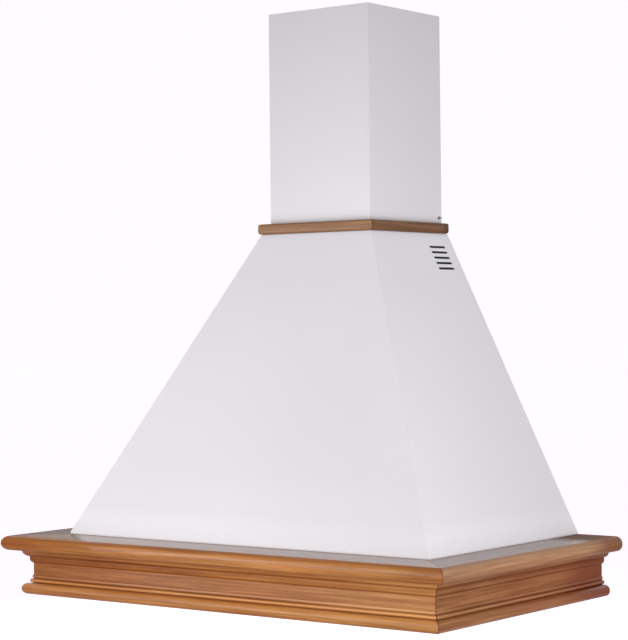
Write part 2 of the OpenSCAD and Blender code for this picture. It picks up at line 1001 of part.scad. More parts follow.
module filter_spring() {
    start = -frame_front - bolt_gap + latch_bolt + 0.2;
    length = -mesh_front - 0.2 - start;
    color("silver")
        translate([filter_x, start, frame_z + frame_t + 2.5])
            coil(length, spring_r, spring_wire, spring_turns);
}

module filter_spring_left() {
    mirror([1, 0, 0])
        filter_spring();
}

module filter_spring_right() {
    filter_spring();
}

// Round lamp: bezel with a lens behind its lip, spun reflector, halogen capsule and ceramic socket
module lamp_bezel() {
    color("silver")
        translate([lamp_x, -lamp_row, pan_z])
            difference() {
                union() {
                    translate([0, 0, -bezel_t])
                        cylinder(h = bezel_t, r = bezel_out);
                    cylinder(h = 8, r = lamp_r - seat);
                }
                translate([0, 0, -bezel_t - cut])
                    cylinder(h = bezel_t + 2 * cut, r = bezel_in);
                translate([0, 0, -bezel_t + bezel_lip])
                    cylinder(h = 8 + bezel_t, r = lens_r + 0.2);
            }
}

module lamp_bezel_left() {
    mirror([1, 0, 0])
        lamp_bezel();
}

module lamp_bezel_right() {
    lamp_bezel();
}

module lamp_lens() {
    color("azure", 0.5)
        translate([lamp_x, -lamp_row, pan_z - bezel_t + bezel_lip])
            cylinder(h = lens_t, r = lens_r);
}

module lamp_lens_left() {
    mirror([1, 0, 0])
        lamp_lens();
}

module lamp_lens_right() {
    lamp_lens();
}

module lamp_reflector() {
    color("whitesmoke")
        translate([lamp_x, -lamp_row, reflector_z])
            difference() {
                union() {
                    cylinder(h = 1, r = lamp_r + 3);
                    cylinder(h = reflector_h, r = reflector_r);
                }
                translate([0, 0, -cut])
                    cylinder(h = reflector_h, r = reflector_r - 1);
                cylinder(h = reflector_h + cut, r = socket_neck_r + 0.5);
            }
}

module lamp_reflector_left() {
    mirror([1, 0, 0])
        lamp_reflector();
}

module lamp_reflector_right() {
    lamp_reflector();
}

module lamp_sockets() {
    color("ivory")
        both_sides()
            translate([lamp_x, -lamp_row, socket_z])
                difference() {
                    union() {
                        cylinder(h = socket_h, r = socket_r);
                        translate([0, 0, -socket_neck_h])
                            cylinder(h = socket_neck_h, r = socket_neck_r);
                    }
                    for (x = [-bulb_pin_x, bulb_pin_x])
                        translate([x, 0, -socket_neck_h - cut])
                            cylinder(h = bulb_pin_l + 2 * cut, r = bulb_pin_r + running_gap);
                }
}

module lamp_bulbs() {
    color("lightyellow")
        both_sides()
            translate([lamp_x, -lamp_row, socket_z - socket_neck_h - 0.2]) {
                for (x = [-bulb_pin_x, bulb_pin_x])
                    translate([x, 0, -cut])
                        cylinder(h = bulb_pin_l + cut, r = bulb_pin_r);
                translate([-bulb_press[0] / 2, -bulb_press[1] / 2, -bulb_press[2]])
                    cube(bulb_press);
                translate([0, 0, -bulb_press[2] - bulb_l + cut])
                    cylinder(h = bulb_l, r = bulb_r);
                translate([0, 0, -bulb_press[2] - bulb_l + cut])
                    sphere(r = bulb_r);
            }
}

// Slot for a slider's stem, long enough for its travel
module slider_slot(x, travel, low, high) {
    block(
        [x - stem_l / 2 - 1, -lamp_row - stem_d / 2 - 0.5, low],
        [x + stem_l / 2 + travel + 1, -lamp_row + stem_d / 2 + 0.5, high]
    );
}

module control_plate() {
    color("whitesmoke")
        difference() {
            union() {
                block(
                    [-control_l / 2, -lamp_row - control_d / 2, pan_z - control_t],
                    [control_l / 2, -lamp_row + control_d / 2, pan_z]
                );
                block(
                    [-control_l / 2 + 8.5, -lamp_row - 12.5, pan_z],
                    [control_l / 2 - 8.5, -lamp_row + 12.5, pan_top]
                );
            }
            slider_slot(speed_x, speed_travel, pan_z - control_t - cut, pan_top + cut);
            slider_slot(light_x, light_travel, pan_z - control_t - cut, pan_top + cut);
        }
}

// Slider with a ribbed cap below the plate and a stem up into its switch
module slider(x) {
    cap_z = pan_z - control_t - seat - knob_h;
    color("black") {
        difference() {
            block(
                [x - knob_l / 2, -lamp_row - knob_d / 2, cap_z],
                [x + knob_l / 2, -lamp_row + knob_d / 2, cap_z + knob_h]
            );
            for (i = [-1:1])
                rod_y([x + i * 3.2, -lamp_row - knob_d / 2 - cut, cap_z], knob_d + 2 * cut, 0.8);
        }
        block(
            [x - stem_l / 2, -lamp_row - stem_d / 2, cap_z + knob_h],
            [x + stem_l / 2, -lamp_row + stem_d / 2, stem_top]
        );
    }
}

module speed_knob() {
    slider(speed_x);
}

module light_knob() {
    slider(light_x);
}

// Switch body on top of the control plate, with a groove for the slider's stem
module slide_switch(x, travel) {
    color("dimgray")
        difference() {
            block(
                [x - stem_l / 2 - 8, -lamp_row - switch_d / 2, pan_top + 0.1],
                [x + stem_l / 2 + travel + 8, -lamp_row + switch_d / 2, pan_top + switch_h]
            );
            slider_slot(x, travel, pan_top - cut, stem_top + 1);
        }
}

module speed_switch() {
    slide_switch(speed_x, speed_travel);
}

module light_switch() {
    slide_switch(light_x, light_travel);
}

// Spiral of quarter arcs whose centres stand on a small square, with a straight outlet at its end
module scroll_outline(grow) {
    s = scroll_step / 2;
    quarter = far / 2;
    intersection() {
        translate([-s, s])
            circle(r = scroll_r - scroll_step + grow);
        translate([-s, s])
            square(quarter);
    }
    intersection() {
        translate([-s, -s])
            circle(r = scroll_r + grow);
        translate([-s - quarter, -s])
            square(quarter);
    }
    intersection() {
        translate([s, -s])
            circle(r = scroll_r + scroll_step + grow);
        translate([s - quarter, -s - quarter])
            square(quarter);
    }
    intersection() {
        translate([s, s])
            circle(r = scroll_r + 2 * scroll_step + grow);
        translate([s, s - quarter])
            square(quarter);
    }
    translate([-s, -s])
        square(scroll_step);
    translate([outlet_left - grow, s])
        square([outlet_right - outlet_left + 2 * grow, outlet_rise - s]);
}

// Places of the four bosses that join the two halves of the scroll
function diagonal(centre, r, a) = centre + [r * cos(a), r * sin(a)];
scroll_bosses = [
    diagonal([-scroll_step, -scroll_step] / 2, scroll_r + boss_out, 135),
    diagonal([scroll_step, -scroll_step] / 2, scroll_r + scroll_step + boss_out, 225),
    diagonal([scroll_step, scroll_step] / 2, scroll_r + 2 * scroll_step + boss_out, 315),
    [outlet_right + boss_out, outlet_rise - 30]
];

module at_blower() {
    translate([0, -blower_d, blower_z])
        rotate([90, 0, 90])
            children();
}

arm_bolts = [for (z = arm_holes) [blower_d - arm_bolt_d, arm_z + z - blower_z]];
module scroll_half_shell() {
    color("lightslategray")
        at_blower() {
            linear_extrude(height = scroll_half)
                difference() {
                    union() {
                        scroll_outline(scroll_t);
                        for (p = scroll_bosses)
                            translate(p)
                                circle(r = boss_r);
                    }
                    scroll_outline(0);
                    for (p = scroll_bosses)
                        translate(p)
                            circle(r = boss_hole_r);
                }
            translate([0, 0, scroll_half])
                linear_extrude(height = scroll_t)
                    difference() {
                        union() {
                            scroll_outline(scroll_t);
                            for (p = scroll_bosses)
                                translate(p)
                                    circle(r = boss_r);
                        }
                        circle(r = inlet_r);
                        for (p = concat(scroll_bosses, arm_bolts))
                            translate(p)
                                circle(r = boss_hole_r);
                    }
        }
}

module scroll_left() {
    mirror([1, 0, 0])
        scroll_half_shell();
}

module scroll_right() {
    scroll_half_shell();
}

module scroll_screws() {
    color("silver")
        at_blower()
            for (p = scroll_bosses)
                translate([p[0], p[1], -scroll_out - 3]) {
                    cylinder(h = 3, r = 3.5);
                    cylinder(h = 2 * scroll_out + 6, r = boss_hole_r - 0.1);
                    translate([0, 0, 2 * scroll_out + 3])
                        cylinder(h = 3, r = 3.8, $fn = 6);
                }
}

// Drum with forward-curved blades on both sides of a middle disc
module impeller() {
    ring_t = 2;
    color("slategray")
        at_blower()
            difference() {
                union() {
                    translate([0, 0, -impeller_half])
                        linear_extrude(height = 2 * impeller_half)
                            for (i = [0:blade_count - 1])
                                rotate(360 * i / blade_count)
                                    intersection() {
                                        translate([(blade_in + impeller_r) / 2, blade_r])
                                            difference() {
                                                circle(r = blade_r);
                                                circle(r = blade_r - blade_t);
                                            }
                                        translate([blade_in + 0.5, -cut])
                                            square([impeller_r - blade_in - 1, blade_r / 2 + cut]);
                                    }
                    for (z = [-impeller_half, impeller_half - ring_t])
                        translate([0, 0, z])
                            difference() {
                                cylinder(h = ring_t, r = impeller_r);
                                translate([0, 0, -cut])
                                    cylinder(h = ring_t + 2 * cut, r = blade_in);
                            }
                    translate([0, 0, -ring_t / 2])
                        cylinder(h = ring_t, r = impeller_r);
                    translate([0, 0, -hub_half])
                        cylinder(h = 2 * hub_half, r = hub_r);
                }
                translate([0, 0, -far / 2])
                    cylinder(h = far, r = shaft_r + 0.02);
            }
}

module motor_shaft() {
    color("silver")
        at_blower()
            translate([0, 0, -scroll_out + 8])
                cylinder(h = scroll_out + 10, r = shaft_r);
}

// Motor casing in the left half of the drum, with a bore for the shaft
module motor() {
    color("darkgray")
        at_blower()
            difference() {
                union() {
                    translate([0, 0, -arm_x + 0.2])
                        cylinder(h = arm_x - motor_end - 8 - 0.2, r = motor_r);
                    translate([0, 0, -motor_end - 8])
                        cylinder(h = 6, r = motor_r - 8);
                }
                translate([0, 0, -scroll_out + 4])
                    cylinder(h = far, r = shaft_r + running_gap);
            }
}

// Three-armed bracket that holds the motor in the left inlet
module motor_bracket() {
    foot = inlet_r + 4;
    color("silver")
        at_blower()
            translate([0, 0, -arm_x - arm_t]) {
                cylinder(h = arm_t, r = 30);
                for (a = [90, 210, 330])
                    rotate(a) {
                        translate([0, -7, 0])
                            cube([foot + 8, 14, arm_t]);
                        translate([foot - 2, -7, 0])
                            cube([10, 14, arm_t + arm_x - scroll_out]);
                    }
            }
}

// Angle from the back panel to the side of the scroll
module blower_bracket() {
    color("silver")
        difference() {
            union() {
                block([arm_x, -arm_reach, arm_z], [arm_x + arm_t, -sheet_t, arm_z + arm_h]);
                block([arm_x, -sheet_t - arm_t, arm_z], [arm_x + arm_leg, -sheet_t, arm_z + arm_h]);
            }
            for (z = arm_holes)
                rod_x([arm_x - cut, -arm_bolt_d, arm_z + z], arm_t + 2 * cut, boss_hole_r);
        }
}

module blower_bracket_left() {
    mirror([1, 0, 0])
        blower_bracket();
}

module blower_bracket_right() {
    blower_bracket();
}

// Washers of rubber between the scroll and its brackets
module rubber_grommets() {
    color("black")
        both_sides()
            for (z = arm_holes)
                difference() {
                    rod_x([scroll_out, -arm_bolt_d, arm_z + z], arm_x - scroll_out, grommet_r);
                    rod_x(
                        [scroll_out - cut, -arm_bolt_d, arm_z + z],
                        arm_x - scroll_out + 2 * cut, boss_hole_r
                    );
                }
}

module blower_screws() {
    color("gainsboro")
        both_sides()
            for (z = arm_holes) {
                rod_x(
                    [scroll_half - 3, -arm_bolt_d, arm_z + z],
                    arm_x + arm_t - scroll_half + 3, boss_hole_r - 0.1
                );
                rod_x([arm_x + arm_t, -arm_bolt_d, arm_z + z], arm_screw_head_h, arm_screw_head_r);
            }
}

// Flat box that leads the scroll's outlet into the round collar
module outlet_box() {
    wall = scroll_t;
    color("slategray")
        difference() {
            block(
                [-outlet_box_half, duct_y - outlet_box_half, outlet_z],
                [outlet_box_half, duct_y + outlet_box_half, outlet_box_top]
            );
            block(
                [-outlet_box_half + wall, duct_y - outlet_box_half + wall, outlet_z + wall],
                [outlet_box_half - wall, duct_y + outlet_box_half - wall, outlet_box_top - wall]
            );
            block(
                [-scroll_half, -blower_d + outlet_left, outlet_z - cut],
                [scroll_half, -blower_d + outlet_right, outlet_z + wall + cut]
            );
            translate([0, duct_y, outlet_box_top - wall - cut])
                cylinder(h = wall + 2 * cut, r = collar_r - collar_t);
        }
}

// Round collar for the duct, with a stop ring and bores for the damper's pins
module outlet_collar() {
    stop_z = damper_z - damper_t / 2 - seat - 1.5;
    color("dimgray")
        difference() {
            translate([0, duct_y, 0])
                difference() {
                    union() {
                        translate([0, 0, outlet_box_top])
                            cylinder(h = collar_h, r = collar_r);
                        translate([0, 0, outlet_box_top])
                            cylinder(h = collar_flange, r = collar_r + 4);
                    }
                    translate([0, 0, outlet_box_top - cut])
                        cylinder(h = stop_z - outlet_box_top + cut, r = collar_r - collar_t);
                    translate([0, 0, outlet_box_top - cut])
                        cylinder(h = collar_h + 2 * cut, r = damper_r - damper_stop);
                    translate([0, 0, stop_z + 1.5])
                        cylinder(h = collar_h, r = collar_r - collar_t);
                }
            for (side = [-1, 1])
                rod_x([-far / 2, duct_y + side * damper_off, damper_z], far, damper_pin_r + running_gap);
        }
}

// Half-disc flap on a pin across the collar, on the side that faces the wall
module damper_flap() {
    color("silver") {
        intersection() {
            translate([0, duct_y, damper_z - damper_t / 2])
                cylinder(h = damper_t, r = damper_r);
            block([-collar_r, duct_y + damper_off - 1.2, 0], [collar_r, duct_y + collar_r, hood_h]);
        }
        rod_x(
            [-collar_r + damper_end, duct_y + damper_off, damper_z],
            2 * (collar_r - damper_end), damper_pin_r
        );
    }
}

module damper_flap_rear() {
    damper_flap();
}

module damper_flap_front() {
    translate([0, 2 * duct_y, 0])
        mirror([0, 1, 0])
            damper_flap();
}

// Run capacitor held to the back panel by its strap
module capacitor() {
    color("gainsboro") {
        translate([capacitor_x, -sheet_t - capacitor_r - strap_t - seat, capacitor_z]) {
            cylinder(h = capacitor_h, r = capacitor_r);
            translate([0, 0, capacitor_h])
                cylinder(h = 4, r = capacitor_r - 5);
            translate([0, 0, capacitor_h / 2])
                cylinder(h = strap_h, r = capacitor_r + strap_t);
        }
        block(
            [capacitor_x - 2 * capacitor_r, -sheet_t - 1.5, capacitor_z + capacitor_h / 2],
            [capacitor_x + 2 * capacitor_r, -sheet_t, capacitor_z + capacitor_h / 2 + strap_h]
        );
    }
}

// Open box for the mains connections
module terminal_box() {
    color("dimgray")
        difference() {
            block([box_x - box_half, -sheet_t - box_d, box_z], [box_x + box_half, -sheet_t, box_z + box_h]);
            block(
                [box_x - box_half + box_t, -sheet_t - box_d - cut, box_z + box_t],
                [box_x + box_half - box_t, -sheet_t - box_t, box_z + box_h - box_t]
            );
            translate([gland_x, -sheet_t - box_d / 2, box_z + box_h - box_t - cut])
                cylinder(h = box_t + 2 * cut, r = gland_r - 2);
        }
}

module terminal_box_lid() {
    color("black") {
        block(
            [box_x - box_half, -sheet_t - box_d - box_t, box_z],
            [box_x + box_half, -sheet_t - box_d, box_z + box_h]
        );
        block(
            [box_x - box_half + box_t + seat, -sheet_t - box_d, box_z + box_t + seat],
            [box_x + box_half - box_t - seat, -sheet_t - box_d + 1.5, box_z + box_h - box_t - seat]
        );
    }
}

// Gland on top of the box, where the mains lead comes in
module cable_gland() {
    top = box_z + box_h;
    color("gray")
        translate([gland_x, -sheet_t - box_d / 2, top])
            difference() {
                union() {
                    translate([0, 0, -box_t])
                        cylinder(h = box_t, r = gland_r - 2.1);
                    cylinder(h = 5, r = gland_r, $fn = 6);
                    cylinder(h = gland_h, r = gland_r - 2);
                    translate([0, 0, gland_h - 12])
                        cylinder(h = 9, r = gland_r, $fn = 6);
                }
                translate([0, 0, -box_t - cut])
                    cylinder(h = gland_h + box_t + 2 * cut, r = gland_bore_r);
            }
}

shelf_front();
shelf_left();
shelf_right();
frieze_front();
frieze_left();
frieze_right();
trim_front();
trim_left();
trim_right();
corner_braces();
wood_screws();
canopy();
chimney_cover();
chimney_extension();
chimney_lower_bracket();
chimney_top_bracket();
chimney_screws();
back_panel();
underside_pan();
filter_frame_left();
filter_frame_right();
filter_mesh_left();
filter_mesh_right();
filter_latch_left();
filter_latch_right();
filter_spring_left();
filter_spring_right();
lamp_bezel_left();
lamp_bezel_right();
lamp_lens_left();
lamp_lens_right();
lamp_reflector_left();
lamp_reflector_right();
lamp_bulbs();
lamp_sockets();
control_plate();
speed_knob();
light_knob();
speed_switch();
light_switch();
scroll_left();
scroll_right();
scroll_screws();
impeller();
motor();
motor_shaft();
motor_bracket();
blower_bracket_left();
blower_bracket_right();
rubber_grommets();
blower_screws();
outlet_box();
outlet_collar();
damper_flap_front();
damper_flap_rear();
capacitor();
terminal_box();
terminal_box_lid();
cable_gland();
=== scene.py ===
import json
import math
import bpy
import bmesh
from mathutils import Matrix, Vector

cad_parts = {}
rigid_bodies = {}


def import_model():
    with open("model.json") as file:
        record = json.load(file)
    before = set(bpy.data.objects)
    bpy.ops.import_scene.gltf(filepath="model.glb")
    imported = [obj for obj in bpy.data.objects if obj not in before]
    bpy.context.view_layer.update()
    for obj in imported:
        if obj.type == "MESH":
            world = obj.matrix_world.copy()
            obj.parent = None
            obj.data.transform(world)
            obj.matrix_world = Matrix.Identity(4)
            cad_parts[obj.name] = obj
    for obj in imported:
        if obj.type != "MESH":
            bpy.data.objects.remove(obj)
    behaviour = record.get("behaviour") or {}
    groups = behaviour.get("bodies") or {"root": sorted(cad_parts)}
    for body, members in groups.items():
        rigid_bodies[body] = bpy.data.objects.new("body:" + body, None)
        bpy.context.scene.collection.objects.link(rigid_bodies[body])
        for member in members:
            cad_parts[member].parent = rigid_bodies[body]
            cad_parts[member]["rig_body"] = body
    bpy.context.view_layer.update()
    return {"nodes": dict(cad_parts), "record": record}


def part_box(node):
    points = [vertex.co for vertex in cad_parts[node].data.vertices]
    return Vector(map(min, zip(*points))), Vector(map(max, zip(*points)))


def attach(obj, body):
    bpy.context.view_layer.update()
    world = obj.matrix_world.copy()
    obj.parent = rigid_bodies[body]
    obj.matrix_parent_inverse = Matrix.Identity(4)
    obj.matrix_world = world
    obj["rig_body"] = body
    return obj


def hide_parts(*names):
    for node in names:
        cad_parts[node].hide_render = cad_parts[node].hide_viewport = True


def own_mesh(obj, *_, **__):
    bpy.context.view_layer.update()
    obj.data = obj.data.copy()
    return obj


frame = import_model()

zero = (0, 0, 0)


def unselect():
    if bpy.context.object and bpy.context.object.mode == "EDIT":
        bpy.ops.object.mode_set(mode="OBJECT")
    bpy.ops.object.select_all(action="DESELECT")


def activate(piece):
    unselect()
    piece.select_set(True)
    bpy.context.view_layer.objects.active = piece


def settle(piece):
    activate(piece)
    bpy.ops.object.transform_apply(location=True, rotation=True, scale=True)
    return piece


def latest(name):
    # what an operator has just made
    piece = bpy.context.object
    piece.name = name
    return piece


def block(name, low, high):
    unselect()
    low, high = Vector(low), Vector(high)
    bpy.ops.mesh.primitive_cube_add(size=1, location=(low + high) / 2)
    piece = latest(name)
    piece.scale = high - low
    return settle(piece)


def rod(name, start, length, radius, along, sides):
    # a round bar from its start along x, y or z
    axis = "xyz".index(along)
    middle = Vector(start)
    middle[axis] += length / 2
    turn = ((0, math.pi / 2, 0), (math.pi / 2, 0, 0), (0, 0, 0))[axis]
    unselect()
    bpy.ops.mesh.primitive_cylinder_add(vertices=sides, radius=radius, depth=length,
                                        location=middle, rotation=turn)
    return settle(latest(name))


def edit(piece, mode):
    activate(piece)
    bpy.ops.object.mode_set(mode="EDIT")
    bpy.ops.mesh.select_mode(type=mode)
    bpy.ops.mesh.select_all(action="DESELECT")


def editAll(piece, mode="VERT"):
    edit(piece, mode)
    bpy.ops.mesh.select_all(action="SELECT")


def done():
    bpy.ops.object.mode_set(mode="OBJECT")


def pickFaces(piece, test):
    mesh = bmesh.from_edit_mesh(piece.data)
    for face in mesh.faces:
        face.select_set(bool(test(face.calc_center_median(), face.normal)))
    bmesh.update_edit_mesh(piece.data)


def pickEdges(piece, test):
    mesh = bmesh.from_edit_mesh(piece.data)
    for edge in mesh.edges:
        edge.select_set(False)
    for edge in mesh.edges:
        if test(edge.verts[0].co, edge.verts[1].co, edge):
            edge.select_set(True)
    bmesh.update_edit_mesh(piece.data)


def near(first, second):
    return abs(first - second) < 2e-5  # two places closer than this are one place


def looking(axis, sign=1):
    # the faces that look along an axis, or against it
    return lambda centre, normal: normal[axis] * sign > 0.9


def edgesAt(axis, level):
    # the edges that lie at one level of an axis
    return lambda a, b, edge: near(a[axis], level) and near(b[axis], level)


def edgesAlong(axis, least):
    # the edges that run further than this along an axis
    return lambda a, b, edge: abs(a[axis] - b[axis]) > least


def roundEdges(piece, test, radius, steps):
    edit(piece, "EDGE")
    pickEdges(piece, test)
    bpy.ops.mesh.bevel(offset=radius, offset_type="OFFSET", segments=steps, profile=0.5, affect="EDGES")
    done()


def cutAway(piece, point, normal, close=True):
    # keeps what lies behind the plane
    editAll(piece, "FACE")
    bpy.ops.mesh.bisect(plane_co=point, plane_no=normal, clear_outer=True, use_fill=close)
    done()


def modify(piece, kind, **settings):
    activate(piece)
    modifier = piece.modifiers.new(kind.lower(), kind)
    for key, value in settings.items():
        setattr(modifier, key, value)
    bpy.ops.object.modifier_apply(modifier=modifier.name)
    return piece


def outward(piece):
    editAll(piece, "FACE")
    bpy.ops.mesh.remove_doubles(threshold=1e-5)
    bpy.ops.mesh.normals_make_consistent(inside=False)
    done()
    return piece


def join(name, pieces):
    unselect()
    for piece in pieces:
        piece.select_set(True)
    bpy.context.view_layer.objects.active = pieces[0]
    if len(pieces) > 1:
        bpy.ops.object.join()
    return latest(name)


def mirrored(piece, name):
    # a copy on the other side of the hood's middle plane
    activate(piece)
    bpy.ops.object.duplicate(linked=False)
    twin = latest(name)
    editAll(twin)
    bpy.ops.transform.resize(value=(-1, 1, 1), center_override=zero)
    bpy.ops.mesh.flip_normals()
    done()
    return twin


def smooth(piece, degrees):
    activate(piece)
    bpy.ops.object.shade_smooth_by_angle(angle=math.radians(degrees))
    return piece


def carve(piece, cutters):
    # cuts the cutters out of the piece, then deletes them
    tool = join("cutter", cutters)
    modify(piece, "BOOLEAN", operation="DIFFERENCE", solver="EXACT", object=tool)
    bpy.data.objects.remove(tool)
    return piece


def turned(name, centre, profile, steps):
    # spins a chain of (radius, height) points once round an upright line through the centre
    unselect()
    start = Vector(centre) + Vector((profile[0][0], 0, profile[0][1]))
    bpy.ops.mesh.primitive_plane_add(size=0.001, location=start)  # merged to its middle point at once
    piece = settle(latest(name))
    editAll(piece)
    bpy.ops.mesh.merge(type="CENTER")
    for before, after in zip(profile, profile[1:]):
        step = (after[0] - before[0], 0, after[1] - before[1])
        bpy.ops.mesh.extrude_region_move(TRANSFORM_OT_translate={"value": step})
    bpy.ops.mesh.select_all(action="SELECT")
    bpy.ops.mesh.spin(steps=steps, angle=math.tau, center=centre, axis=(0, 0, 1))
    done()
    return outward(piece)


def fit(piece, finish, body, slot, *nodes):
    piece.data.materials.clear()
    piece.data.materials.append(finish)
    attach(piece, body)
    if nodes:
        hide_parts(*nodes)
    return piece


class Wire:
    # a socket that takes part in sums: each sum adds its Math node
    def __init__(self, graph, socket):
        self.graph = graph
        self.socket = socket

    def combine(self, operation, other, flip=False):
        first, second = (other, self) if flip else (self, other)
        return self.graph.add("Math", {"operation": operation}, {0: first, 1: second})

    def __add__(self, other):
        return self.combine("ADD", other)

    __radd__ = __add__

    def __sub__(self, other):
        return self.combine("SUBTRACT", other)

    def __rsub__(self, other):
        return self.combine("SUBTRACT", other, True)

    def __mul__(self, other):
        return self.combine("MULTIPLY", other)

    __rmul__ = __mul__

    def __abs__(self):
        return self.graph.add("Math", {"operation": "ABSOLUTE"}, {0: self})

    def part(self, name):
        # another output of the same node
        return Wire(self.graph, self.socket.node.outputs[name])


class Graph:
    # the nodes of one material, or of the world
    def __init__(self, tree):
        self.tree = tree

    def add(self, kind, settings, sockets, out=0):
        node = self.tree.nodes.new("ShaderNode" + kind)
        for key, value in settings.items():
            if key == "stops":
                self.setStops(node.color_ramp, value)
            else:
                setattr(node, key, value)
        for key, value in sockets.items():
            if isinstance(value, Wire):
                self.tree.links.new(value.socket, node.inputs[key])
            else:
                node.inputs[key].default_value = value
        return Wire(self, node.outputs[out])

    def setStops(self, ramp, stops):
        while len(ramp.elements) < len(stops):
            ramp.elements.new(0.5)
        for element, (position, level) in zip(ramp.elements, stops):
            element.position = position
            element.color = (*(level if isinstance(level, tuple) else [level] * 3), 1)


class Finish(Graph):
    # a material: what is the same all over is set on its shader, and drive links what varies
    def __init__(self, name, roughness, metallic=0.0, **fixed):
        self.material = bpy.data.materials.new(name)
        self.material.use_nodes = True
        super().__init__(self.material.node_tree)
        self.shader = self.tree.nodes["Principled BSDF"]
        self.shader.inputs["Roughness"].default_value = roughness
        self.shader.inputs["Metallic"].default_value = metallic
        for key, value in fixed.items():
            self.shader.inputs[key.replace("_", " ")].default_value = value
        self.place = self.add("TexCoord", {}, {}, "Object")

    def stretched(self, scale):
        return self.add("Mapping", {}, {"Vector": self.place, "Scale": scale})

    def noise(self, vector, scale, detail=2.0, roughness=0.5):
        return self.add("TexNoise", {}, {"Vector": vector, "Scale": scale, "Detail": detail,
                                         "Roughness": roughness})

    def ramp(self, factor, low, high):
        # 0 below low, 1 above high
        return self.add("MapRange", {"clamp": True}, {"Value": factor, "From Min": low, "From Max": high})

    def band(self, distance, inner, outer):
        # 1 up to the inner distance, 0 from the outer one
        return 1 - self.ramp(distance, inner, outer)

    def mix(self, factor, first, second, blend="MIX"):
        first = (*first, 1) if isinstance(first, tuple) else first
        second = (*second, 1) if isinstance(second, tuple) else second
        settings = {"data_type": "RGBA", "blend_type": blend}
        return self.add("Mix", settings, {0: factor, 6: first, 7: second}, 2)

    def axes(self, wire=None):
        split = self.add("SeparateXYZ", {}, {"Vector": wire or self.place})
        return split.part("X"), split.part("Y"), split.part("Z")

    def drive(self, name, wire):
        self.tree.links.new(wire.socket, self.shader.inputs[name])

    def surface(self, colour, rough, height, strength, distance):
        # links colour, roughness and relief, and gives back the finished material
        self.drive("Base Color", colour)
        self.drive("Roughness", rough)
        relief = {"Strength": strength, "Distance": distance, "Height": height}
        self.drive("Normal", self.add("Bump", {}, relief))
        return self.material


def tone(red, green, blue):
    # a colour read on screen, as the linear value a shader wants
    return tuple((level / 255 / 12.92) if level <= 10 else ((level / 255 + 0.055) / 1.055) ** 2.4
                 for level in (red, green, blue))


def scaled(colour, *factors):
    factors = factors * 3 if len(factors) == 1 else factors
    return tuple(min(1.0, part * factor) for part, factor in zip(colour, factors))


def whiteEnamel(name, colour, fade=()):
    paint = Finish(name, 0.38, Coat_Weight=0.12, Coat_Roughness=0.3, Specular_IOR_Level=0.4)
    cloud = paint.noise(paint.place, 3.0, 3.0)
    peel = paint.noise(paint.place, 900.0, 2.0)
    base = tone(*colour)
    coat = paint.mix(paint.ramp(cloud, 0.35, 0.7), base, scaled(base, 0.975))
    if fade:
        # painted light and shade: the enamel's colour is multiplied by a ramp over height, lighter at the
        # canopy's foot and darker towards the chimney's top
        low, high = fade[0][0], fade[-1][0]
        height = paint.ramp(paint.axes()[2], low, high)
        stops = [((level - low) / (high - low), share) for level, share in fade]
        shade = paint.add("ValToRGB", {"stops": stops}, {"Fac": height})
        coat = paint.mix(1.0, coat, shade, "MULTIPLY")
    return paint.surface(coat, 0.34 + 0.1 * paint.noise(paint.place, 14.0, 4.0), peel, 0.06, 0.0004)


oakFigure = {
    # repeats per metre along a board and across it
    "grain": (4.2, 150.0), "streak": (9.0, 520.0), "pore": (60.0, 1500.0), "plank": (1.4, 1.4, 4.0),
    "speck": 620.0,
    # metres from the middle of the mitre: its glue line, and the chips beside it
    "line": (0.0006, 0.0026), "chips": (0.002, 0.006), "waver": 0.003,
    # the part of a painted highlight or of a stain-and-shade band at full strength, and the height where the
    # base moulding's shade fades in
    "core": 0.3, "footFade": (0.020, 0.030),
    # how far the surface faces up where the top's painted edge shade and its painted grey reflection begin
    # and end
    "topEdge": (0.45, 0.9), "topFlat": (0.97, 0.999),
}


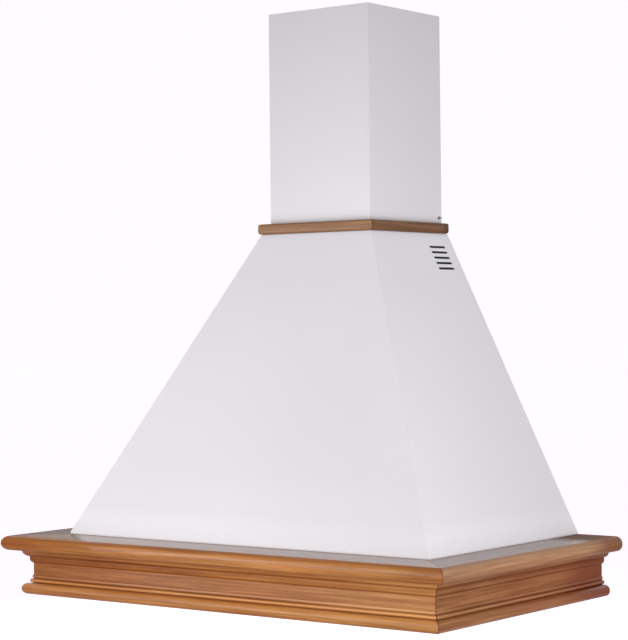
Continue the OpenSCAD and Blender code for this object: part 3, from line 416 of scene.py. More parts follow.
def varnishedOak(name, light, dark, look):
    # look says where the wood gets painted highlights, painted shade and a painted grey reflection, where it
    # is stained, and where its varnish shines or has gone dull
    oak = Finish(name, 0.34, Coat_Roughness=0.2, Specular_IOR_Level=0.12)
    axis = "xyz".index(look["along"])

    def drawnOut(layer):
        along, across = oakFigure[layer]
        scale = [across] * 3
        scale[axis] = along
        return oak.stretched(scale)

    plank = oak.noise(oak.stretched(oakFigure["plank"]), 2.4, 3.0)
    grain = oak.noise(drawnOut("grain"), 1.0, 3.0, 0.6)
    streak = oak.noise(drawnOut("streak"), 1.0, 2.0)
    pore = oak.ramp(oak.noise(drawnOut("pore"), 1.0, 1.0), 0.62, 0.72)
    mask = oak.ramp(0.65 * grain + 0.35 * streak, 0.40, 0.62)
    pale, deep = tone(*light), tone(*dark)
    colour = oak.mix(mask, deep, pale)
    colour = oak.mix(0.4 * oak.ramp(plank, 0.42, 0.62), colour, scaled(deep, 1.08, 0.98, 0.9))
    colour = oak.mix(0.3 * pore, colour, scaled(deep, 0.4))
    # a dark stain colour: the glue line and end grain, and the painted shade in the hollows
    stain = scaled(deep, 0.66, 0.40, 0.22)
    x, y, z = oak.axes()
    up = oak.axes(oak.place.part("Normal"))[2]
    coat = look["coat"] + 0.1 * grain
    for level, width, share in look.get("paintedHighlights", ()):
        # painted highlight: the raised edges are painted paler, and their coat is raised
        highlight = oak.band(abs(z - level), width * oakFigure["core"], width)
        colour = oak.mix(share * highlight, colour, scaled(pale, 1.55, 1.5, 1.45))
        coat = coat + 0.25 * highlight
    for level, width, share in look.get("stainAndShadeBands", ()):
        # the hollows are darkened with the stain colour and their coat lowered: stain that gathers there, and
        # painted shade
        stainAndShadeBand = oak.band(abs(z - level), width * oakFigure["core"], width)
        colour = oak.mix(share * stainAndShadeBand, colour, stain)
        coat = coat - 0.5 * stainAndShadeBand
    rough = 0.27 + 0.12 * grain + 0.12 * pore
    if "shades" in look:
        # each board's colour is multiplied by a colour ramp along its length
        ends = (-cornice["half"], cornice["half"]) if axis == 0 else (-cornice["depth"], 0.0)
        shade = oak.add("ValToRGB", {"stops": look["shades"]}, {"Fac": oak.ramp((x, y)[axis], *ends)})
        even = look.get("even", 1.0)
        share = even + (1 - even) * oak.ramp(z, *oakFigure["footFade"])
        colour = oak.mix(share, colour, shade, "MULTIPLY")
    flat = 0.0
    if "top" in look:
        # painted reflection and painted shade: the flat top is painted grey, fading out towards its rim, and
        # the shoulder towards its round edge is painted darker
        topPaintedReflection = oak.mix(mask, scaled(tone(*look["top"]), 0.74), tone(*look["top"]))
        edge = oak.ramp(up, *oakFigure["topEdge"])
        flat = oak.ramp(up, *oakFigure["topFlat"])
        out = abs(x) if look["along"] == "y" else abs(y)
        fade = oak.ramp(out + 0.02 * (streak - 0.5), look["rim"], look["rim"] - look["rimFade"])
        colour = oak.mix(0.55 * edge, colour, scaled(deep, 0.9, 0.85, 0.8))
        colour = oak.mix(flat * (0.15 + 0.85 * fade), colour, topPaintedReflection)
        rough = oak.ramp(rough + flat, 0.0, 1.0)
        coat = coat - edge + look["gloss"] * flat
        if "dull" in look:
            # the varnish goes dull from start to end along the board, or along a slant across it
            start, end, slant, loss = look["dull"]
            coat = coat - loss * oak.ramp((x, y)[axis] + slant * (y, x)[axis], start, end)
    # the glue line of the mitre, with a few chips of bare wood beside it
    speck = oak.noise(oak.place, oakFigure["speck"], 2.0)
    mitre = abs(abs(x) + y + look["corner"]) + oakFigure["waver"] * (speck - 0.5)
    line = oak.band(mitre, *oakFigure["line"])
    chips = oak.band(mitre, *oakFigure["chips"]) * oak.ramp(speck, 0.6, 0.66)
    colour = oak.mix(0.3 * chips, colour, scaled(pale, 1.5))
    colour = oak.mix(0.85 * line, colour, stain)
    if "ends" in look:
        # the rear ends show their short grain, darker than the rest
        tip = oak.ramp(y + 0.02 * (grain - 0.5), -look["ends"], -0.4 * look["ends"]) * (1 - 0.8 * flat)
        colour = oak.mix(0.8 * tip, colour, tone(*look["endColour"]))
        colour = oak.mix(0.35 * tip * oak.ramp(speck, 0.5, 0.6), colour, stain)
        rear = -look.get("back", 0.0)
        colour = oak.mix(0.8 * oak.ramp(y, rear - 0.004, rear - 0.001), colour, stain)
    oak.drive("Coat Weight", oak.ramp(coat, 0.0, 1.0))
    return oak.surface(colour, rough, 0.5 * streak + 0.8 * grain - 0.5 * pore, 0.14, 0.0006)


def galvanised(name, colour, crystal):
    # zinc flowers: cells of slightly different grey, each with its own gloss
    sheet = Finish(name, 0.4, 0.7)
    ripple = sheet.add("TexNoise", {}, {"Vector": sheet.place, "Scale": 60.0}, 1)
    bent = sheet.mix(0.12, sheet.place, ripple, "ADD")
    flowers = sheet.add("TexVoronoi", {}, {"Vector": bent, "Scale": crystal}, "Color")
    share = sheet.add("SeparateColor", {}, {"Color": flowers})
    rolled = sheet.noise(sheet.stretched((14.0, 14.0, 420.0)), 1.0, 2.0)
    base = tone(*colour)
    tint = sheet.mix(0.7 * share + 0.3 * rolled, scaled(base, 0.78), base)
    return sheet.surface(tint, 0.3 + 0.2 * share, 0.6 * share + 0.4 * rolled, 0.08, 0.0003)


def brushedMetal(name, colour, along, roughness):
    metal = Finish(name, roughness, 1.0)
    strokes = [950.0] * 3
    strokes["xyz".index(along)] = 14.0
    brush = metal.noise(metal.stretched(strokes), 1.0, 3.0)
    cloud = metal.noise(metal.place, 26.0, 3.0)
    base = tone(*colour)
    tint = metal.mix(metal.ramp(brush, 0.35, 0.65), scaled(base, 0.86), base)
    tint = metal.mix(0.3 * metal.ramp(cloud, 0.4, 0.7), tint, scaled(base, 0.8))
    return metal.surface(tint, (roughness - 0.06) + 0.2 * brush + 0.06 * cloud, brush, 0.08, 0.0002)


def mouldedPlastic(name, colour, roughness, grain=1300.0):
    plastic = Finish(name, roughness, Specular_IOR_Level=0.45)
    leather = plastic.noise(plastic.place, grain, 2.0)
    flow = plastic.noise(plastic.stretched((9.0, 9.0, 30.0)), 1.0, 3.0)
    base = tone(*colour)
    tint = plastic.mix(plastic.ramp(flow, 0.35, 0.7), base, scaled(base, 0.86))
    tint = plastic.mix(0.25 * plastic.ramp(leather, 0.5, 0.75), tint, scaled(base, 1.25))
    return plastic.surface(tint, (roughness - 0.08) + 0.16 * leather, leather, 0.16, 0.0003)


def castMetal(name, colour):
    metal = Finish(name, 0.5, 0.8)
    sand = metal.noise(metal.place, 420.0, 5.0, 0.65)
    pits = metal.add("TexVoronoi", {}, {"Vector": metal.place, "Scale": 260.0})
    base = tone(*colour)
    tint = metal.mix(metal.ramp(sand, 0.35, 0.65), scaled(base, 0.72), base)
    return metal.surface(tint, 0.38 + 0.25 * sand, 0.7 * sand + 0.3 * pits, 0.35, 0.0005)


def spunReflector(name, colour):
    metal = Finish(name, 0.16, 1.0)
    dimples = metal.add("TexVoronoi", {"feature": "SMOOTH_F1"}, {"Vector": metal.place, "Scale": 260.0})
    haze = metal.noise(metal.place, 90.0, 3.0)
    base = tone(*colour)
    tint = metal.mix(metal.ramp(haze, 0.3, 0.7), base, scaled(base, 0.9))
    return metal.surface(tint, 0.1 + 0.14 * haze, dimples, 0.5, 0.0006)


def frostedGlass(name, colour, roughness):
    glass = Finish(name, roughness, IOR=1.5, Transmission_Weight=0.88)
    frost = glass.noise(glass.place, 1100.0, 2.0)
    stain = glass.noise(glass.place, 34.0, 3.0)
    base = tone(*colour)
    tint = glass.mix(glass.ramp(stain, 0.4, 0.7), base, scaled(base, 0.95))
    return glass.surface(tint, (roughness - 0.05) + 0.1 * frost, frost, 0.1, 0.0002)


print("cornice")
cornice = {
    "half": 0.434, "depth": 0.518, "board": 0.020, "shelfIn": 0.062, "nose": 0.04139,
    "shelfLow": 0.0793, "top": 0.1053, "seam": 0.0004, "overrun": 0.06, "corner": 0.084,
}
friezeLook = {
    "coat": 0.1, "corner": cornice["corner"],
    # painted highlights and stain-and-shade bands: height, half width, strength
    "stainAndShadeBands": [(0.0700, 0.0026, 0.6), (0.0640, 0.0050, 0.25), (0.0572, 0.0020, 0.65),
                (0.0284, 0.0016, 0.25)],
}
shelfLook = {"coat": 0.12, "corner": cornice["corner"], "rimFade": 0.012}


def mouldingBar(name, side, members, half, depth, back):
    # each member is (in, out, low, high, rounded corners), measured outwards from the frieze face
    reach = cornice["overrun"]
    bars = []
    for inner, outer, low, high, rounds in members:
        if side == "front":
            bar = block(name, (-half - reach, -depth - outer, low), (half + reach, -depth - inner, high))
        else:
            bar = block(name, (half + inner, -depth - reach, low), (half + outer, -back, high))
        for edge, radius, steps in rounds:
            atLevel = edgesAt(2, high if edge == "top" else low)
            atFace = edgesAt(1, -depth - outer) if side == "front" else edgesAt(0, half + outer)

            def onEdge(a, b, edge, atLevel=atLevel, atFace=atFace):
                return atLevel(a, b, edge) and atFace(a, b, edge)

            roundEdges(bar, onEdge, radius, steps)
        slope = math.sqrt(0.5)
        mitres = [(Vector((half, -depth, 0)), Vector((-slope, -slope, 0)))]
        if side == "front":
            mitres = [(Vector((half, -depth, 0)), Vector((slope, slope, 0))),
                      (Vector((-half, -depth, 0)), Vector((-slope, slope, 0)))]
        for point, normal in mitres:
            cutAway(bar, point, normal)

        def onMitre(a, b, edge, mitres=mitres):
            return any(near((a - point).dot(normal), 0) and near((b - point).dot(normal), 0)
                       for point, normal in mitres)

        roundEdges(bar, onMitre, cornice["seam"], 1)
        bars.append(bar)
    return smooth(join(name, bars), 40)


def frontAndRight(name, members, face):
    return (mouldingBar(name + "Front", "front", members, *face),
            mouldingBar(name + "Right", "side", members, *face))


oakFront = varnishedOak("oakFront", (204, 148, 85), (154, 97, 42), {
    **friezeLook, "along": "x", "even": 0.7,
    "paintedHighlights": [(0.0240, 0.0034, 0.5), (0.0318, 0.0024, 0.2), (0.0188, 0.0030, 0.2), (0.0160, 0.0050, 0.2)],
    "shades": [(0.0, (0.60, 0.49, 0.42)), (0.20, (0.57, 0.39, 0.25)), (0.31, (0.65, 0.48, 0.34)),
               (0.44, (0.75, 0.62, 0.44)), (0.56, (0.89, 0.78, 0.63)), (0.69, (0.93, 0.85, 0.77)),
               (0.94, 1.0)]})
# painted shade: the side boards are the front's oak, given darker colours
oakSideShaded = varnishedOak("oakSideShaded", (168, 118, 73), (120, 72, 38), {
    **friezeLook, "along": "y",
    "paintedHighlights": [(0.0240, 0.0034, 0.25), (0.0318, 0.0024, 0.1), (0.0188, 0.0030, 0.2)],
    "stainAndShadeBands": [*friezeLook["stainAndShadeBands"], (0.0775, 0.0022, 0.5), (0.0660, 0.0020, 0.4)],
    "shades": [(0.0, 1.0), (0.25, 1.0), (0.5, (1.0, 0.88, 0.80)), (1.0, (1.0, 0.84, 0.74))],
    "ends": 0.15, "endColour": (118, 52, 16)})
# each shelf's top colour is the painted grey reflection on its flat top
oakShelfFront = varnishedOak("oakShelfFront", (203, 140, 75), (156, 95, 42), {
    **shelfLook, "along": "x", "top": (150, 122, 103), "gloss": 1.9, "dull": (-0.942, -0.968, 1.23, 0.98),
    "rim": 0.546, "paintedHighlights": [(0.0975, 0.0045, 0.08)],
    "shades": [(0.0, (0.58, 0.49, 0.40)), (0.08, (0.65, 0.57, 0.45)), (0.19, (0.62, 0.56, 0.44)),
               (0.31, (0.82, 0.78, 0.74)), (0.44, (0.77, 0.76, 0.78)), (0.56, 0.90), (0.69, 1.0),
               (0.94, (0.83, 0.86, 0.86)), (1.0, (0.73, 0.68, 0.62))]})
# painted shade: the side shelves' noses are darkened along their lower half
sideShelf = {**shelfLook, "along": "y", "rim": 0.470, "rimFade": 0.034, "stainAndShadeBands": [(0.0840, 0.0080, 0.5)],
             "shades": [(0.0, 0.80), (0.15, 0.90), (0.3, 1.0)], "ends": 0.12, "endColour": (112, 62, 26)}
oakShelfRight = varnishedOak("oakShelfRight", (196, 156, 118), (152, 110, 76), {
    **sideShelf, "top": (140, 118, 103), "gloss": 1.6, "dull": (-0.13, -0.02, 0.0, 1.4)})
# the left shelf's top is painted darker still: painted shade
oakShelfLeft = varnishedOak("oakShelfLeft", (180, 132, 86), (138, 90, 52), {
    **sideShelf, "top": (118, 106, 98), "gloss": 0.9})

# every member is seen from its rear too, so each is a whole bar: in, out, low, high, roundings
shelfMembers = [(-cornice["shelfIn"], cornice["nose"], cornice["shelfLow"], cornice["top"],
                 [("top", 0.01299, 12), ("low", 0.01299, 12)])]
friezeMembers = [
    (-cornice["board"], 0.0, 0.0, cornice["shelfLow"], []),
    (-0.001, 0.015, 0.0673, cornice["shelfLow"], [("low", 0.0119, 10)]),
    (-0.004, 0.005, 0.055, 0.0673, [("low", 0.008, 8)]),
    (-0.0019, 0.0049, 0.0206, 0.0274, [("top", 0.00339, 6), ("low", 0.00339, 6)]),
    (-0.001, 0.0157, 0.0, 0.0200, [("top", 0.00999, 10), ("low", 0.00999, 10)]),
    (-0.001, 0.0016, 0.0290, 0.0335, [("top", 0.0014, 4)]),
]
corniceFace = (cornice["half"], cornice["depth"], 0)
shelfFront, shelfRight = frontAndRight("shelf", shelfMembers, corniceFace)
shelfLeft = mirrored(shelfRight, "shelfLeft")
friezeFront, friezeRight = frontAndRight("frieze", friezeMembers, corniceFace)
friezeLeft = mirrored(friezeRight, "friezeLeft")
for piece, finish, node in (
        (shelfFront, oakShelfFront, "shelf_front"), (shelfRight, oakShelfRight, "shelf_right"),
        (shelfLeft, oakShelfLeft, "shelf_left"), (friezeFront, oakFront, "frieze_front"),
        (friezeRight, oakSideShaded, "frieze_right"), (friezeLeft, oakSideShaded, "frieze_left")):
    fit(piece, finish, "hood", "oak", node)


print("chimney strip")
strip = {"half": 0.111, "depth": 0.230, "low": 0.6415, "height": 0.0183, "out": 0.0163, "gap": 0.0003,
         "round": 0.004, "endRound": 0.0036, "back": 0.004, "corner": 0.119}
stripLook = {"coat": 0.1, "corner": strip["corner"]}
# the strip's bands at its top and bottom edges are stain and painted shade
oakStrip = varnishedOak("oakStrip", (172, 130, 96), (130, 94, 66), {
    **stripLook, "along": "x", "stainAndShadeBands": [(0.6596, 0.0028, 0.45), (0.6420, 0.0022, 0.2)]})
# painted shade: the strip's sides are the front's oak, given darker colours
oakStripSideShaded = varnishedOak("oakStripSideShaded", (140, 98, 62), (102, 66, 38), {
    **stripLook, "along": "y", "stainAndShadeBands": [(0.6596, 0.0026, 0.4), (0.6420, 0.0022, 0.3)],
    "ends": 0.03, "back": strip["back"], "endColour": (74, 46, 28)})
stripMembers = [(strip["gap"], strip["out"], strip["low"], strip["low"] + strip["height"],
                 [("top", strip["round"], 6), ("low", strip["round"], 6)])]
stripFront, stripRight = frontAndRight("strip", stripMembers, (strip["half"], strip["depth"], strip["back"]))
roundEdges(stripRight, edgesAt(1, -strip["back"]), strip["endRound"], 4)
outward(stripRight)
smooth(stripRight, 40)
stripLeft = mirrored(stripRight, "stripLeft")
fit(stripFront, oakStrip, "hood", "oak", "trim_front")
fit(stripRight, oakStripSideShaded, "hood", "oak", "trim_right")
fit(stripLeft, oakStripSideShaded, "hood", "oak", "trim_left")


print("canopy")


def rearFlanges(piece, back, width):
    # narrow flanges turned in from the piece's upright rear edges
    for sign in (1, -1):
        edit(piece, "EDGE")
        pickEdges(piece, lambda a, b, edge: near(a.y, -back) and near(b.y, -back) and abs(a.z - b.z) > 0.003
                  and a.x * sign > 0 and b.x * sign > 0)
        bpy.ops.mesh.extrude_edges_move(TRANSFORM_OT_translate={"value": (-sign * width, 0, 0)})
        done()


def primerGrey():
    primer = Finish("primerGrey", 0.7)
    spray = primer.noise(primer.place, 340.0, 3.0)
    cloud = primer.noise(primer.place, 6.0, 3.0)
    tint = primer.mix(primer.ramp(cloud, 0.35, 0.7), tone(114, 115, 117), tone(98, 99, 101))
    tint = primer.mix(0.3 * primer.ramp(spray, 0.5, 0.7), tint, tone(132, 133, 135))
    return primer.surface(tint, 0.6 + 0.2 * spray, spray, 0.1, 0.0002)


canopy = {
    "bottomHalf": 0.390, "bottomFront": 0.469, "topHalf": 0.123, "topFront": 0.242, "back": 0.0041,
    "low": 0.1053, "hem": 0.004, "high": 0.6415, "sheet": 0.0012, "fold": 0.0022, "hemFold": 0.0011,
    "flange": 0.0168, "ledge": 0.0195, "colour": (247, 245, 250),
    # painted light and shade: the canopy's colour by height, brightest at its foot
    "fade": [(0.105, 1.0), (0.125, 0.875), (0.16, 0.795), (0.22, 0.775), (0.35, 0.80), (0.56, 0.85),
             (0.6415, 0.90)],
}
ventSlots = {"count": 5, "first": 0.615, "step": 0.0098, "height": 0.004, "near": 0.0325, "length": 0.050,
             "round": 0.0012, "reach": 0.17}
canopyEnamel = whiteEnamel("canopyEnamel", canopy["colour"], canopy["fade"])
hemTop = canopy["low"] + canopy["hem"]
hood = block("canopySheet", (-canopy["bottomHalf"], -canopy["bottomFront"], canopy["low"]),
             (canopy["bottomHalf"], -canopy["back"], hemTop))
edit(hood, "FACE")
pickFaces(hood, looking(2))
bpy.ops.mesh.extrude_region_move(TRANSFORM_OT_translate={"value": (0, 0, canopy["high"] - hemTop)})
bpy.ops.transform.resize(
    value=(canopy["topHalf"] / canopy["bottomHalf"],
           (canopy["topFront"] - canopy["back"]) / (canopy["bottomFront"] - canopy["back"]), 1),
    center_override=(0, -canopy["back"], canopy["high"]))
bpy.ops.mesh.select_all(action="DESELECT")
pickFaces(hood, looking(1))
bpy.ops.mesh.delete(type="FACE")
pickFaces(hood, looking(2))
bpy.ops.mesh.inset(thickness=canopy["ledge"], use_boundary=False)
bpy.ops.mesh.delete(type="FACE")
pickFaces(hood, looking(2, -1))
bpy.ops.mesh.inset(thickness=canopy["flange"], use_boundary=False)
bpy.ops.mesh.delete(type="FACE")
done()
rearFlanges(hood, canopy["back"], canopy["flange"])


def isFold(edge, flattest=0.96):
    # the cosine between the two faces tells a fold from an edge that lies flat
    if len(edge.link_faces) < 2:
        return False
    return abs(edge.link_faces[0].normal.dot(edge.link_faces[1].normal)) < flattest


def isLongFold(a, b, edge):
    return isFold(edge) and (max(a.z, b.z) > 0.2 or abs(a.z - b.z) > 0.003)


def isHemFold(a, b, edge):
    return isFold(edge, 0.2) and edgesAt(2, canopy["low"])(a, b, edge) and min(abs(a.x), -a.y) > 0.3


roundEdges(hood, isLongFold, canopy["fold"], 4)
roundEdges(hood, isHemFold, canopy["hemFold"], 3)
outward(hood)
modify(hood, "SOLIDIFY", thickness=canopy["sheet"], offset=-1, use_even_offset=True)
cutters = []
for index in range(ventSlots["count"]):
    # one bar through both sides cuts the right slot and the left one
    level = ventSlots["first"] - index * ventSlots["step"]
    rear, rise = -ventSlots["near"], ventSlots["height"] / 2
    cutter = block("cutter", (-ventSlots["reach"], rear - ventSlots["length"], level - rise),
                   (ventSlots["reach"], rear, level + rise))
    roundEdges(cutter, edgesAlong(0, ventSlots["reach"]), ventSlots["round"], 3)
    cutters.append(cutter)
carve(hood, cutters)
smooth(hood, 32)
fit(hood, canopyEnamel, "hood", "white_enamel", "canopy")
# the inside has only a grey primer
hood.data.materials.append(primerGrey())
edit(hood, "FACE")
pickFaces(hood, lambda centre, normal: normal.x * centre.x < -1e-3 * abs(centre.x) and abs(centre.x) > 0.1
          or normal.y > 0.1 and centre.y < -0.2)  # faces that look towards the middle
hood.active_material_index = 1
bpy.ops.object.material_slot_assign()
done()


print("chimney")
chimney = {"half": 0.111, "front": 0.230, "back": 0.0041, "low": 0.6416, "high": 1.040, "lip": 0.0138,
           "sheet": 0.0012, "fold": 0.0016, "colour": (238, 236, 240),
           # painted shade: the chimney's colour by height, darker towards its top
           "fade": [(0.66, 0.95), (0.69, 0.90), (0.76, 0.865), (0.86, 0.84), (0.95, 0.82), (1.04, 0.79)]}
chimneyEnamel = whiteEnamel("chimneyEnamel", chimney["colour"], chimney["fade"])
cover = block("chimneyCover", (-chimney["half"], -chimney["front"], chimney["low"]),
              (chimney["half"], -chimney["back"], chimney["high"]))
edit(cover, "FACE")
pickFaces(cover, lambda centre, normal: abs(normal.z) > 0.9 or normal.y > 0.9)
bpy.ops.mesh.delete(type="FACE")
done()
rearFlanges(cover, chimney["back"], chimney["lip"])
roundEdges(cover, lambda a, b, edge: len(edge.link_faces) == 2 and near(a.x, b.x) and near(a.y, b.y),
           chimney["fold"], 4)
outward(cover)
modify(cover, "SOLIDIFY", thickness=chimney["sheet"], offset=-1, use_even_offset=True)
smooth(cover, 32)
fit(cover, chimneyEnamel, "hood", "white_enamel", "chimney_cover")

coverScrew = {"x": 0.111, "y": 0.0135, "z": 0.670, "headRadius": 0.003, "headHeight": 0.0018, "shank": 0.0015,
              "length": 0.0057, "recess": 0.0009, "arm": 0.0018, "width": 0.0005,
              "dome": [(1.0, 0.45), (0.86, 0.8), (0.6, 0.95)]}  # shares of the head's radius and height
screwZinc = brushedMetal("screwZinc", (186, 187, 188), "z", 0.34)
headTop, headRadius, tip, shank = (coverScrew[key] for key in ("headHeight", "headRadius", "length", "shank"))
dome = [(headRadius * out, headTop * up) for out, up in coverScrew["dome"]]
screw = turned("coverScrew", zero, [
    (0.0, -tip), (shank, -tip), (shank, 0.0), (headRadius, 0.0), *dome, (0.0, headTop)], 24)
for reachX, reachY, deeper in ((coverScrew["arm"], coverScrew["width"], 0.0),
                               (coverScrew["width"], coverScrew["arm"], 0.0001)):
    # the second arm of the cross is a little larger, so that no two faces meet
    arm = block("cutter", (-reachX, -reachY, headTop - coverScrew["recess"] - deeper),
                (reachX, reachY, headTop + 0.001 + deeper))
    carve(screw, [arm])
smooth(screw, 30)
editAll(screw)
bpy.ops.transform.rotate(value=math.pi / 2, orient_axis="Y", center_override=zero)
done()
if max(vert.co.x for vert in screw.data.vertices) < headTop * 0.9:
    # without a window the turn goes the other way, so the head is brought round to look along +x
    editAll(screw)
    bpy.ops.transform.rotate(value=math.pi, orient_axis="Z", center_override=zero)
    done()
editAll(screw)
bpy.ops.transform.translate(value=(coverScrew["x"], -coverScrew["y"], coverScrew["z"]))
done()
coverScrews = join("coverScrews", [screw, mirrored(screw, "coverScrewLeft")])
fit(coverScrews, screwZinc, "hood", "zinc_screws", "chimney_screws")


print("grease filters")
lattice = {"x": 0.168, "half": 0.1577, "front": 0.3568, "rear": 0.0953, "low": 0.0212, "high": 0.0278,
           "long": 0.011, "short": 0.0062, "strand": 0.0009, "layers": 3, "skin": 0.0007, "net": 0.44}
filterAluminium = brushedMetal("filterAluminium", (200, 202, 204), "y", 0.36)
latticeAluminium = brushedMetal("latticeAluminium", (186, 188, 190), "x", 0.34)


def latticeLayer(name, level, longWay):
    # a square net turned by 45 degrees, drawn out into diamonds and cut to the frame
    long, short = (lattice["long"], lattice["short"]) if longWay else (lattice["short"], lattice["long"])
    middle = Vector((lattice["x"], -(lattice["front"] + lattice["rear"]) / 2, level))
    count = int(lattice["net"] / lattice["short"])
    unselect()
    bpy.ops.mesh.primitive_grid_add(x_subdivisions=count, y_subdivisions=count, size=count, location=zero)
    layer = latest(name)
    editAll(layer)
    bpy.ops.transform.rotate(value=math.pi / 4, orient_axis="Z", center_override=zero)
    bpy.ops.transform.resize(value=(long / math.sqrt(2), short / math.sqrt(2), 1), center_override=zero)
    bpy.ops.transform.translate(value=middle)
    done()
    trim = lattice["strand"]
    for point, normal in (((lattice["x"] + lattice["half"] - trim, 0, 0), (1, 0, 0)),
                          ((lattice["x"] - lattice["half"] + trim, 0, 0), (-1, 0, 0)),
                          ((0, -lattice["rear"] - trim, 0), (0, 1, 0)),
                          ((0, -lattice["front"] + trim, 0), (0, -1, 0))):
        cutAway(layer, point, normal, False)
    return modify(layer, "WIREFRAME", thickness=lattice["strand"], use_even_offset=False, use_boundary=True,
                  use_replace=True)


layers = []
for index in range(lattice["layers"]):
    share = index / (lattice["layers"] - 1)
    room = lattice["high"] - lattice["low"] - 2 * lattice["skin"]
    level = lattice["low"] + lattice["skin"] + share * room
    layers.append(latticeLayer("latticeLayer", level, index % 2 == 0))
latticeRight = join("latticeRight", layers)
latticeLeft = mirrored(latticeRight, "latticeLeft")
fit(latticeRight, latticeAluminium, "filter_right", "filter_aluminium", "filter_mesh_right")
fit(latticeLeft, latticeAluminium, "filter_left", "filter_aluminium", "filter_mesh_left")


print("lamps")
lamp = {"x": 0.290, "y": -0.442, "low": 0.020, "reflectorLow": 0.0302, "reflectorHigh": 0.0682,
        "reflectorRadius": 0.0307, "neck": 0.0090, "wall": 0.001, "lip": 0.0350, "bowlSteps": 8,
        "rings": 12, "ringFirst": 0.0015, "ringStep": 0.002, "ringRise": 0.00025,
        # radius and height above the lowest point, once round the bezel's section
        "bezel": [(0.0260, 0.0008), (0.0260, 0.0003), (0.0263, 0.0), (0.0296, 0.0), (0.0299, 0.0003),
                  (0.0305, 0.0003), (0.0308, 0.0), (0.0366, 0.0), (0.0374, 0.0003), (0.0379, 0.0010),
                  (0.0380, 0.0020), (0.0317, 0.0020), (0.0317, 0.0100), (0.0288, 0.0100),
                  (0.0288, 0.0008), (0.0260, 0.0008)],
        # the same for the lens, from the rim of its ringed face to the middle of its back
        "lens": [(0.0254, 0.0010), (0.0258, 0.0008), (0.0284, 0.0008), (0.0286, 0.0010), (0.0286, 0.0026),
                 (0.0284, 0.0028), (0.0, 0.0028)]}
satinChrome = brushedMetal("satinChrome", (196, 197, 200), "x", 0.24)
lensGlass = frostedGlass("lensGlass", (236, 242, 242), 0.32)
reflectorBright = spunReflector("reflectorBright", (232, 233, 235))
lampCentre = (lamp["x"], lamp["y"], 0.0)


def lifted(profile):
    return [(radius, lamp["low"] + rise) for radius, rise in profile]


bezelRight = turned("bezelRight", lampCentre, lifted(lamp["bezel"]), 72)
smooth(bezelRight, 30)
bezelLeft = mirrored(bezelRight, "bezelLeft")
# the lens has fine rings pressed into its face
lensFace = lamp["lens"][0][1]
rings = [(0.0, lensFace)]
for index in range(lamp["rings"]):
    radius = lamp["ringFirst"] + index * lamp["ringStep"]
    rings += [(radius, lensFace), (radius + lamp["ringStep"] / 2, lensFace + lamp["ringRise"])]
lensRight = turned("lensRight", lampCentre, lifted(rings + lamp["lens"]), 64)
smooth(lensRight, 25)
lensLeft = mirrored(lensRight, "lensLeft")
# the reflector's bowl is a parabola
wall, bowlLow = lamp["wall"], lamp["reflectorLow"]
depth = lamp["reflectorHigh"] - wall - bowlLow
inside, outside = [], []
for index in range(lamp["bowlSteps"] + 1):
    share = index / lamp["bowlSteps"]
    radius = lamp["neck"] + (lamp["reflectorRadius"] - wall - lamp["neck"]) * math.sqrt(1 - share)
    inside.append((radius, bowlLow + depth * share))
    outside.append((radius + wall, bowlLow + wall + depth * share))
reflectorRight = turned("reflectorRight", lampCentre, inside + outside[::-1] + [
    (lamp["lip"], bowlLow + wall), (lamp["lip"], bowlLow), inside[0]], 40)
smooth(reflectorRight, 8)
reflectorLeft = mirrored(reflectorRight, "reflectorLeft")
for side, bezel, lens, reflector in (("right", bezelRight, lensRight, reflectorRight),
                                     ("left", bezelLeft, lensLeft, reflectorLeft)):
    fit(bezel, satinChrome, "hood", "bezel_metal", "lamp_bezel_" + side)
    fit(lens, lensGlass, "hood", "lens_glass", "lamp_lens_" + side)
    fit(reflector, reflectorBright, "hood", "reflector_metal", "lamp_reflector_" + side)


print("controls")
controls = {"half": 0.075, "y": -0.442, "deep": 0.020, "low": 0.0195, "panLow": 0.022, "panHigh": 0.0232,
            "innerHalf": 0.0665, "innerDeep": 0.0125, "cornerRound": 0.003, "rimRound": 0.0007,
            "stemHalf": 0.002, "slotHalf": 0.0018, "slotSpare": 0.001, "slotRound": 0.0008,
            "cutLow": 0.015, "cutHigh": 0.03,
            # start, travel and number of positions of each slide
            "speed": (-0.030, 0.024, 4), "light": (0.038, 0.008, 2)}
knob = {"half": 0.006, "deep": 0.0045, "low": 0.0162, "high": 0.0192, "round": 0.0007, "cornerRound": 0.0012,
        "grooveStep": 0.0032, "grooveRadius": 0.0008, "grooveHalf": 0.006, "stemDeep": 0.0013,
        "stemLow": 0.0187, "stemTop": 0.034, "stemRound": 0.0003}
plateWhite = mouldedPlastic("plateWhite", (226, 226, 223), 0.42)
knobBlack = mouldedPlastic("knobBlack", (34, 34, 36), 0.36)
plate = block("controlPlate", (-controls["half"], controls["y"] - controls["deep"], controls["low"]),
              (controls["half"], controls["y"] + controls["deep"], controls["panLow"]))
edit(plate, "FACE")
pickFaces(plate, looking(2))
margin = controls["deep"] - controls["innerDeep"]
bpy.ops.mesh.inset(thickness=margin, use_boundary=True)
bpy.ops.transform.resize(value=(controls["innerHalf"] / (controls["half"] - margin), 1, 1),
                         center_override=(0, controls["y"], controls["panLow"]))
bpy.ops.mesh.extrude_region_move(
    TRANSFORM_OT_translate={"value": (0, 0, controls["panHigh"] - controls["panLow"])})
done()
roundEdges(plate, edgesAlong(2, 0.002), controls["cornerRound"], 5)
roundEdges(plate, edgesAt(2, controls["low"]), controls["rimRound"], 3)
cutters = []
for start, travel, _ in (controls["speed"], controls["light"]):
    spare = controls["stemHalf"] + controls["slotSpare"]
    wide = controls["slotHalf"]
    cutter = block("cutter", (start - spare, controls["y"] - wide, controls["cutLow"]),
                   (start + travel + spare, controls["y"] + wide, controls["cutHigh"]))
    roundEdges(cutter, edgesAlong(2, 0.01), controls["slotRound"], 4)
    cutters.append(cutter)
carve(plate, cutters)
smooth(plate, 30)
fit(plate, plateWhite, "hood", "control_plastic", "control_plate")


